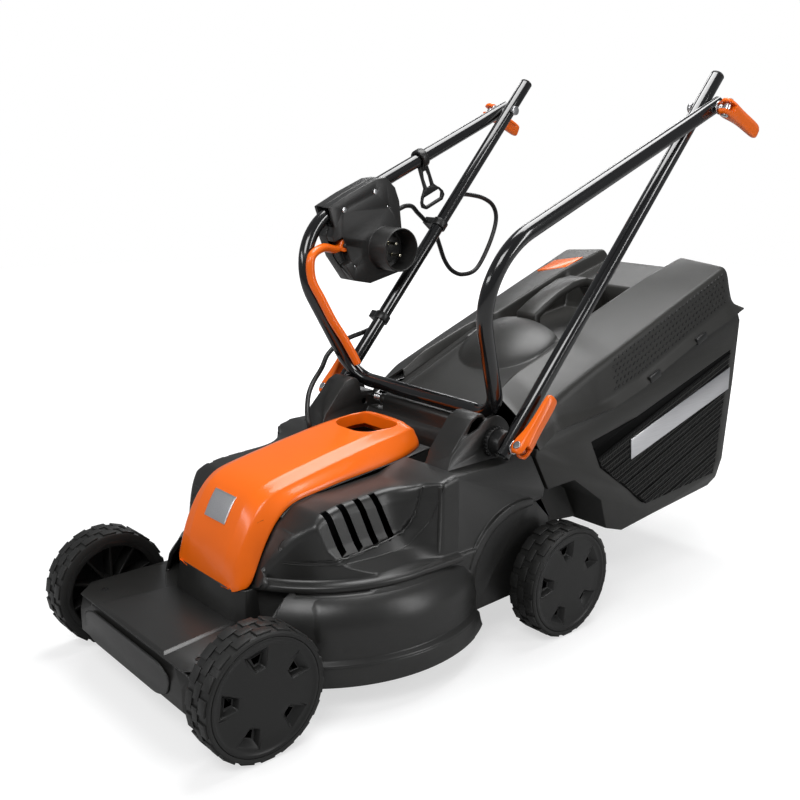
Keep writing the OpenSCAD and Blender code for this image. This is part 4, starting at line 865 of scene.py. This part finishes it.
def flap():
    columns, rows = 86, 90
    grid = []
    for j in range(rows + 1):
        ring = []
        for i in range(columns + 1):
            x = -86 + 172 * i / columns
            corner = max(0, abs(x) - 74)
            rear = 585 - corner * 0.9
            y = 403.5 + (rear - 403.5) * j / rows
            reach = math.hypot(x, (y - 559) / math.cos(math.radians(22.8)))
            rise = 23.5 * max(0, 1 - (reach / 75) ** 2) ** 0.72
            strip = min(1, max(0, (abs(x) - 74) / 1.6)) * min(1, max(0, (85.5 - abs(x)) / 1.6))
            ends = min(1, (y - 403.5) / 3) * min(1, max(0, (rear - 3 - y) / 3))
            ring.append((x, y, flap_top(y) + rise + 3.0 * strip * ends))
        grid.append(ring)
    points = [p for ring in grid for p in ring]
    faces = grid_faces(columns, rows)
    sheet = add_piece("flap_sheet", points, faces, FLAP, 60)
    if sheet.data.polygons[0].normal.z < 0:
        sheet.data.flip_normals()
    settle(sheet, ("SOLIDIFY", {"thickness": 0.0036, "offset": -1.0}), angle=45)
    parts = [sheet]
    inner, outer, front = 75.5, 86, 405.5
    hinge_y, hinge_z, knuckle_r = 392, 276, 7
    for side in (-1, 1):
        rings = [[(side * x, hinge_y + knuckle_r * c, hinge_z + knuckle_r * s) for c, s in circle(40)]
                 for x in (inner, outer)]
        knuckle = add_piece("knuckle", *loft(rings), FLAP)
        outline = [(392, 272), (390, 281), (front, flap_top(front) - 1), (front, flap_top(front) - 3)]
        arm = add_piece("arm", *slab(outline, side * inner, side * outer), FLAP)
        parts += [settle(knuckle, bevel(0.0008, 2, 40)), settle(arm, bevel(0.0005, 2, 40))]
    piece = join("flap_shape", parts)
    shade(piece, 45)
    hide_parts("rear_flap")
    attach(piece, "flap")


flap()

# ---------------------------------------------------------------- grass catcher

LID_HALF = 175
CREASE_X = 157
RIM_LINE = [(436, 250), (470, 271), (586, 281), (646, 298), (759, 343), (879, 379), (897, 384)]
OUTER_CREASE = [(436, 262), (475, 284), (566, 288), (651, 312), (789, 367), (870, 398), (885, 394),
                (897, 388)]
INNER_CREASE = [(436, 272), (475, 300), (593, 347), (725, 398), (862, 450), (885, 406), (897, 390)]
SHOULDER_LINE = [(436, 312), (475, 334), (604, 377), (725, 418), (770, 433), (850, 454), (864, 456),
                 (885, 408), (897, 391)]
VALLEY_LINE = [(436, 294), (589, 358.5), (593, 346), (762, 372), (768, 412), (850, 434), (864, 438),
               (885, 400), (897, 388)]
VALLEY_HALF = [(436, 92), (571, 92), (605, 74), (897, 74)]
MESH_LINE = [(540, 240), (562, 198), (675, 117), (850, 128), (872, 326), (640, 258)]


def eased(at, table, reach=6):
    """A table's value with its corners rounded over this distance."""
    return sum(lookup(at + reach * k / 3, table) for k in range(-3, 4)) / 7


def rounded_line(points, radii, steps=4):
    """An open line whose inner corners are rounded."""
    points = [Vector(p) for p in points]
    line = [points[0]]
    for before, here, after, radius in zip(points, points[1:], points[2:], radii):
        back, on = before - here, after - here
        reach = min(radius, back.length * 0.45, on.length * 0.45)
        start, end = here + back.normalized() * reach, here + on.normalized() * reach
        line += [(1 - k / steps) ** 2 * start + 2 * k / steps * (1 - k / steps) * here
                 + (k / steps) ** 2 * end
                 for k in range(steps + 1)]
    return line + [points[-1]]


def lid_section(y):
    """Half the lid's section, from the rim up over the shoulder to the middle."""
    tuck = 20 * max(0, (y - 846) / 51) ** 2
    half = eased(y, VALLEY_HALF, 10)
    rim, outer = eased(y, RIM_LINE), eased(y, OUTER_CREASE)
    inner, top, floor = eased(y, INNER_CREASE, 7), eased(y, SHOULDER_LINE, 7), eased(y, VALLEY_LINE, 3)
    corners = [(LID_HALF - tuck * 0.3, rim), (LID_HALF - 9 - tuck, outer), (CREASE_X - tuck, inner),
               (half, top), (half - 4, min(floor, top - 1)), (0, min(floor, top - 1))]
    return rounded_line(corners, (4, 9, 6, 5))


def lid():
    rows = [436 + 3 * k for k in range(142)] + [861 + 1.5 * k for k in range(25)]
    rings = []
    for y in rows:
        half = [(p.x, y, p.y) for p in lid_section(y)]
        rings.append(half + [(-x, b, z) for x, b, z in reversed(half[:-1])])
    piece = add_piece("lid_shape", *loft(rings, closed=False, capped=False), CATCHER, 60)
    if piece.data.polygons[len(piece.data.polygons) // 2].normal.z < 0:
        piece.data.flip_normals()
    settle(piece, ("SOLIDIFY", {"thickness": 0.0024, "offset": -1.0}), angle=50)

    def facet(x, y):
        share = (x - 74) / (CREASE_X - 74)
        return lookup(y, SHOULDER_LINE) * (1 - share) + lookup(y, INNER_CREASE) * share
    corners = [(81.5, 771.5), (81.5, 814.5), (142.5, 814.5), (142.5, 771.5)]
    window = add_piece("window", *loft([[(-x, y, facet(x, y) + h) for x, y in corners] for h in (-12, 12)]),
                       CATCHER)
    cut(piece, window)
    shade(piece, 50)
    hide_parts("catcher_lid")
    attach(piece, "catcher")


def inside(point, outline):
    y, z = point
    hit = False
    for (ay, az), (by, bz) in zip(outline, outline[1:] + outline[:1]):
        if (az > z) != (bz > z) and y < (by - ay) * (z - az) / (bz - az) + ay:
            hit = not hit
    return hit


def shoulder_dots():
    """Rows of short raised bars on the band under each shoulder's crease."""
    places = []
    for row in range(6):
        share = 0.14 + 0.145 * row
        for k in range(32):
            y = 598 + 8.4 * k + (4.2 if row % 2 else 0)
            outer, inner = eased(y, OUTER_CREASE), eased(y, INNER_CREASE, 7)
            lean = math.atan2(LID_HALF - 9 - CREASE_X, inner - outer)
            if y < 852 and inner - outer > 38:
                x = LID_HALF - 9 + (CREASE_X - LID_HALF + 9) * share - 20 * max(0, (y - 846) / 51) ** 2
                places.append(((x + 0.2, y, outer + (inner - outer) * share), (0.38 + 0.45, -lean, 0)))
    return places


def catcher():
    dress((
        ("catcher_tub", "tub_shape", CATCHER, 0.0012, "catcher"),
        ("lid_clips", "clip_shapes", BLACK, 0.0008, "catcher"),
        ("side_plates", "silver_strips", PLATE, 0.0004, "catcher"),
        ("carry_handle", "carry_bar", CATCHER, 0.003, "catcher"),
        ("level_flap", "level_window", ORANGE, 0.0005, "level")))
    lid()
    left = blocks("shoulder_dots_left", shoulder_dots(), (1.8, 4.8, 2.0), BLACK, 0.3)
    right = mirrored(left, "shoulder_dots_right")
    for piece in (left, right):
        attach(piece, "catcher")
    middle_y, middle_z, inset = 720, 215, 0.955
    outline = [(middle_y + (y - middle_y) * inset, middle_z + (z - middle_z) * inset) for y, z in MESH_LINE]
    slope, row_pitch, tooth_pitch = 0.349, 7.4, 3.2
    tilt = math.atan(slope)
    ribs, teeth = [], []
    for row in range(34):
        base = 250 - row_pitch * row
        for k in range(110):
            y = 530 + tooth_pitch * k
            line = base + slope * (y - 520) - 60
            if inside((y, line), outline):
                ribs.append(((170.4, y, line), (tilt, 0, 0)))
            between = line + row_pitch / 2
            if inside((y, between), outline):
                teeth.append(((170.1, y, between), (tilt * 0.2, 0, 0)))
    # The ribs' lighter colour is a painted highlight on the same black plastic.
    highlit_ribs = blocks("mesh_ribs_left", ribs, (1.5, 3.5, 0.8), MESH_RIB_HIGHLIGHT)
    dark = blocks("mesh_teeth_left", teeth, (0.8, 1.2, 4.2), BLACK)
    for side in ("left", "right"):
        # The solid ground under the ribs and teeth is near-black painted shade, where the real mesh is open.
        back = softened(f"mesh_{side}", f"mesh_painted_shade_{side}", MESH_PAINTED_SHADE, 0)
        if side == "left":
            panel = join("mesh_shape_left", [back, highlit_ribs, dark])
            face = panel
        else:
            remove(back)
            panel = mirrored(face, "mesh_shape_right")
        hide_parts(f"mesh_{side}")
        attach(panel, "catcher")


catcher()

# ---------------------------------------------------------------- deck and drive

SHAFT_Y = 222
# half width of the body's side and radius of its round plan, each over height, and its top over distance back
SIDE_LINE = [(138, 179), (140, 182), (145, 182), (147, 180.5), (151.5, 167), (166, 151), (187, 140),
             (220, 132), (232, 125), (260, 125)]
PLAN_LINE = [(96, 171), (137, 171), (138, 179), (140, 182), (145, 182), (147, 180.5), (151.5, 172),
             (300, 172)]
TOP_LINE = [(55, 97), (63, 136), (78, 173), (98, 206), (122, 225), (150, 230), (210, 233.5), (250, 236),
            (272, 243), (296, 248)]
LEAF_TOP = [(86, 173), (145, 175), (190, 177), (229, 184), (246, 203), (257, 240)]
LEAF_FOOT = [(86, 171), (150, 168), (201, 166), (232, 169), (257, 190), (266, 214), (272, 240)]

LEAF_DEPTH = 3.2


def body_x(y, z):
    """How far out the body's side is at a distance back and a height."""
    radius = lookup(z, PLAN_LINE)
    plan = math.sqrt(max(1, radius ** 2 - (SHAFT_Y - y) ** 2)) if y < SHAFT_Y else radius
    x = min(lookup(z, SIDE_LINE), plan)
    share = min(1, max(0, (y - 205) / 66))
    x += max(0, 173.4 - x) * share ** 2.2
    foot, top = lookup(y, LEAF_FOOT), lookup(y, LEAF_TOP)
    if 90 < y < 272 and foot < z < top:
        x -= LEAF_DEPTH * (z - foot) / (top - foot) * min(1, (y - 90) / 30)
    return x


def body_skin():
    rows = [56 + 2.4 * k for k in range(101)]
    rings = []
    for y in rows:
        top = eased(y, TOP_LINE, 5)
        edge = max(97, top - 9)
        levels = [min(z, edge) for z in (96, 116, 136.8, 138, 140, 142.5, 145, 146, 147, 149, 151.5)]
        levels += [levels[-1] + (edge - levels[-1]) * k / 40 for k in range(1, 41)]
        side = [(body_x(y, z), z) for z in levels]
        outer = Vector((body_x(y, top), top))
        corner = Vector((max(outer.x, side[-1][0] - 3), top))
        inner = Vector((corner.x - 9, top))
        start = Vector(side[-1])
        curve = [(1 - k / 5) ** 2 * start + 2 * k / 5 * (1 - k / 5) * corner + (k / 5) ** 2 * inner
                 for k in range(1, 6)]
        last = min(76, inner.x - 2)
        flat = [(inner.x + (last - inner.x) * k / 4, top) for k in range(1, 5)]
        rings.append([(x, y, z) for x, z in side] + [(p.x, y, p.y) for p in curve]
                     + [(x, y, z) for x, z in flat])
    piece = add_piece("body_side_left", *loft(rings, closed=False, capped=False), DECK, 60)
    if sum(f.normal.x for f in piece.data.polygons) < 0:
        piece.data.flip_normals()
    settle(piece, ("SOLIDIFY", {"thickness": 0.0016, "offset": -1.0}), angle=38)
    for k in range(4):
        front = 128 + 24 * k
        outline = [(front - 5, 240), (front + 4, 240), (front + 20.5, 180), (front + 12, 175.5)]
        cut(piece, add_piece("vent", *slab(outline, 121, 168), DECK))
    rings = [[(101 + 4.4 * c, 88 + 14 * d + 3 * s, 190 - 5 * d + 6.8 * s) for c, s in circle(32)]
             for d in (-1, 1)]
    ear = add_piece("ear", *loft(rings), DECK)
    cut(piece, ear)
    shade(piece, 38)
    ribs = []
    for line in (LEAF_TOP, LEAF_FOOT):
        path = smooth_path([Vector((0, y, z)) for y, z in line], 8)
        path = [(body_x(p.y, p.z) + (LEAF_DEPTH if line is LEAF_TOP and p.y > 120 else 0) - 0.2, p.y, p.z)
                for p in path if p.z < 238]
        ribs.append(add_piece("leaf_edge", *loft(sweep(path, 0.9, 8, (1, 0, 0))), DECK, 60))
    left = join("body_side_left", [piece] + ribs)
    return [left, mirrored(left, "body_side_right")]


def bowl_skin():
    """The bulge round the blade and the skirt with its rim, open towards the rear wheels."""
    line = [(207, 36.2), (210.3, 36.2), (210.6, 40), (210.6, 59), (209.6, 61.8), (207, 63.4),
            (203.4, 64.4), (201.6, 66.5), (202.6, 72), (205.6, 82), (207, 93), (206.2, 105), (202.6, 117),
            (196.6, 127), (189, 134.5), (181, 139), (174, 141)]
    parts = []
    for start, end in ((-46, 25), (-90, -46)):
        rings = []
        steps = 60
        profile = line if start == -46 else line[:8] + [(201.6, 90), (201, 94)]
        for k in range(steps + 1):
            a = math.radians(start + (end - start) * k / steps)
            taper = min(1, (math.degrees(a) + 46) / 7) if start == -46 else 1
            ring = []
            for r, z in profile:
                if z > 66:
                    r = 176 + (r - 176) * max(0.02, taper) ** 0.5
                ring.append((r * math.cos(a), SHAFT_Y + r * math.sin(a), z))
            rings.append(ring)
        parts.append(add_piece("bowl", *loft(rings, closed=False, capped=False), DECK, 45))
    left = join("bowl_left", parts)
    return [left, mirrored(left, "bowl_right")]


def plate_skin():
    outline = [(-148, -33), (-125, -58.6), (125, -58.6), (148, -33), (148, 40), (118, 104), (-118, 104),
               (-148, 40)]
    plate = add_piece("front_plate", *slab(outline, 94.2, 96.2, "xy"), DECK)
    settle(plate, bevel(0.0008, 2, 40))
    ridge = add_piece("front_ridge", *loft([
        [(-84, -57.5, 96), (84, -57.5, 96), (66, 62, 96), (-66, 62, 96)],
        [(-78, -54, 98.6), (78, -54, 98.6), (62, 62, 98.6), (-62, 62, 98.6)]]), DECK)
    settle(ridge, bevel(0.0012, 3, 20))
    holes = []
    for x in (-115, 115):
        for name, capped, steps in (("screw_well", False,
                                     ((4.6, 96.4), (4.4, 96.9), (3.6, 96.9), (3.4, 95.6))),
                                    ("screw_seat", True, ((3.6, 95.8), (3.6, 96.3)))):
            rings = [[(x + r * c, -31 + r * s, z) for c, s in circle(24)] for r, z in steps]
            holes.append(add_piece(name, *loft(rings, capped=capped), BLACK))
    outline = [(-108, 52), (-84, 47), (70, 47), (96, 56), (104, 78), (78, 88), (-86, 88), (-108, 80)]
    panel = add_piece("bumper_panel", *slab(round_corners(outline, 9), -60.2, -62.6, "xz"), SWITCH)
    settle(panel, bevel(0.0018, 3, 40))
    plinth = add_piece("plinth", *loft([
        [(-w, 100, z), (-w + 2, 52 - d, z), (-w + 20, 40 - d, z),
         (w - 20, 40 - d, z), (w - 2, 52 - d, z), (w, 100, z)]
        for w, d, z in ((81, 2, 95), (79, 0, 112), (77, -3.5, 135.5))]), DECK)
    settle(plinth, bevel(0.0014, 3, 40))
    return [plate, ridge, panel, plinth] + holes


def deck():
    shell = softened("deck_housing", "deck_shell", DECK, 0)
    turns = [math.radians(3 * k) for k in range(120)]

    def ring_wall(inner, outer, low, high):
        circle = [[(r * math.cos(a), SHAFT_Y + r * math.sin(a), z) for a in turns]
                  for r, z in ((inner, low), (outer, low), (outer, high), (inner, high), (inner, low))]
        return add_piece("ring_wall", *loft(circle, capped=False), DECK)
    for inner, low, box in ((170, 96.4, ((-118.5, 118.5), (-20, 98))), (170, 138, ((-210, 210), (90, 160)))):
        wall = ring_wall(inner, 240, low, 260)
        (x0, x1), (y0, y1) = box
        keep = add_piece("keep", *slab([(x0, y0), (x0, y1), (x1, y1), (x1, y0)], low - 1, 262, "xy"), DECK)
        cut(wall, keep, "INTERSECT")
        cut(shell, wall)
    for side in (1, -1):
        outline = [(60, 149), (60, 262), (262, 262), (262, 149)]
        cut(shell, add_piece("side_room", *slab(outline, side * 112, side * 210), DECK))
    settle(shell, bevel(0.0012, 2, 30))
    piece = join("deck_shape", [shell] + body_skin() + bowl_skin() + plate_skin())
    shade(piece, 38)
    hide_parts("deck_housing")
    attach(piece, "deck")


deck()

dress((
    ("cover_screws", "cover_screw_set", STEEL, 0.0004, "deck"),
    ("motor_can", "motor_casing", CAN, 0.001, "deck"),
    ("motor_screws", "motor_screw_set", STEEL, 0.0004, "deck"),
    ("rotor_shaft", "rotor_shape", STEEL, 0.0005, "rotor"),
    ("cooling_fan", "fan_shape", BLACK, 0.0004, "rotor"),
    ("blade_holder", "blade_hub", BLACK, 0.0008, "rotor"),
    ("cutting_blade", "blade_shape", BLADE, 0.0004, "rotor"),
    ("blade_bolt", "blade_bolt_head", STEEL, 0.0006, "rotor"),
    ("front_axle", "front_axle_rod", STEEL, 0.0006, "deck"),
    ("rear_axle", "rear_axle_rod", STEEL, 0.0006, "deck"),
    ("axle_nuts", "axle_washers", STEEL, 0.0004, "deck"),
    ("flap_rod", "flap_rod_shape", STEEL, 0.0004, "deck"),
    ("flap_springs", "flap_spring_pair", STEEL, 0, "deck")))

# ---------------------------------------------------------------- floor, light and camera


def studio():
    bpy.ops.mesh.primitive_circle_add(vertices=96, radius=4, fill_type="NGON", location=(0, 0, 0))
    floor = bpy.context.object
    floor.name = "studio_floor"
    ground = bpy.data.materials.new("pale_floor")
    ground.use_nodes = True
    tree = ground.node_tree
    shader = tree.nodes["Principled BSDF"]
    shader.inputs["Base Color"].default_value = (0.42, 0.42, 0.42, 1)
    shader.inputs["Roughness"].default_value = 0.9
    shader.inputs["Specular IOR Level"].default_value = 0.1
    seen = tree.nodes.new("ShaderNodeLightPath").outputs["Is Camera Ray"]
    reach = shading_node(tree, "VectorMath", {0: object_place(tree)}, "LENGTH")
    fade = shading_node(tree, "MapRange", {"From Min": 0.6, "From Max": 1.1, "To Min": 0.62, "To Max": 1.0,
                                           "Value": reach.outputs["Value"]})
    lift = shading_node(tree, "Math", {0: fade.outputs["Result"], 1: seen}, "MULTIPLY")
    glow = shading_node(tree, "Emission", {"Color": (1, 1, 1, 1), "Strength": lift.outputs["Value"]})
    both = shading_node(tree, "AddShader", {0: shader.outputs["BSDF"], 1: glow.outputs["Emission"]})
    tree.links.new(both.outputs["Shader"], tree.nodes["Material Output"].inputs["Surface"])
    floor.data.materials.append(ground)

    world = bpy.data.worlds.new("studio_world")
    bpy.context.scene.world = world
    world.use_nodes = True
    tree = world.node_tree
    sky = tree.nodes["Background"]
    sky.inputs["Color"].default_value = (0.95, 0.97, 1.0, 1)
    sky.inputs["Strength"].default_value = 0.22
    white = shading_node(tree, "Background", {"Color": (1, 1, 1, 1), "Strength": 1.0})
    seen = tree.nodes.new("ShaderNodeLightPath").outputs["Is Camera Ray"]
    mix = shading_node(tree, "MixShader", {"Fac": seen, 1: sky.outputs["Background"],
                                           2: white.outputs["Background"]})
    tree.links.new(mix.outputs["Shader"], tree.nodes["World Output"].inputs["Surface"])

    for name, power, size, place, aim in (
            ("key_panel", 30, (1.3, 0.9), (1.1, -1.7, 2.2), (0, 0, 0.25)),
            ("top_panel", 46, (1.5, 1.3), (-0.2, 0.5, 2.4), (0, 0, 0.2)),
            ("side_strip", 20, (0.3, 1.8), (2.3, 0.9, 1.2), (0, 0, 0.3)),
            ("front_strip", 10, (1.6, 0.3), (-0.6, -2.2, 1.3), (0, 0, 0.3)),
            ("back_strip", 12, (2.0, 0.4), (-1.6, 2.2, 1.7), (0, 0, 0.3))):
        data = bpy.data.lights.new(name, "AREA")
        data.shape = "RECTANGLE"
        data.size, data.size_y = size
        data.energy = power
        lamp = placed(name, data)
        lamp.location = place
        lamp.rotation_euler = (Vector(aim) - Vector(place)).to_track_quat("-Z", "Y").to_euler()

    data = bpy.data.cameras.new("view")
    data.lens = 47.156
    data.sensor_width = 36
    camera = placed("view", data)
    camera.location = (1.0329, -0.9402, 0.6514)
    camera.rotation_euler = (math.radians(75.37), 0, math.radians(49.57))
    bpy.context.scene.camera = camera
    bpy.context.scene.view_settings.view_transform = "Standard"


studio()
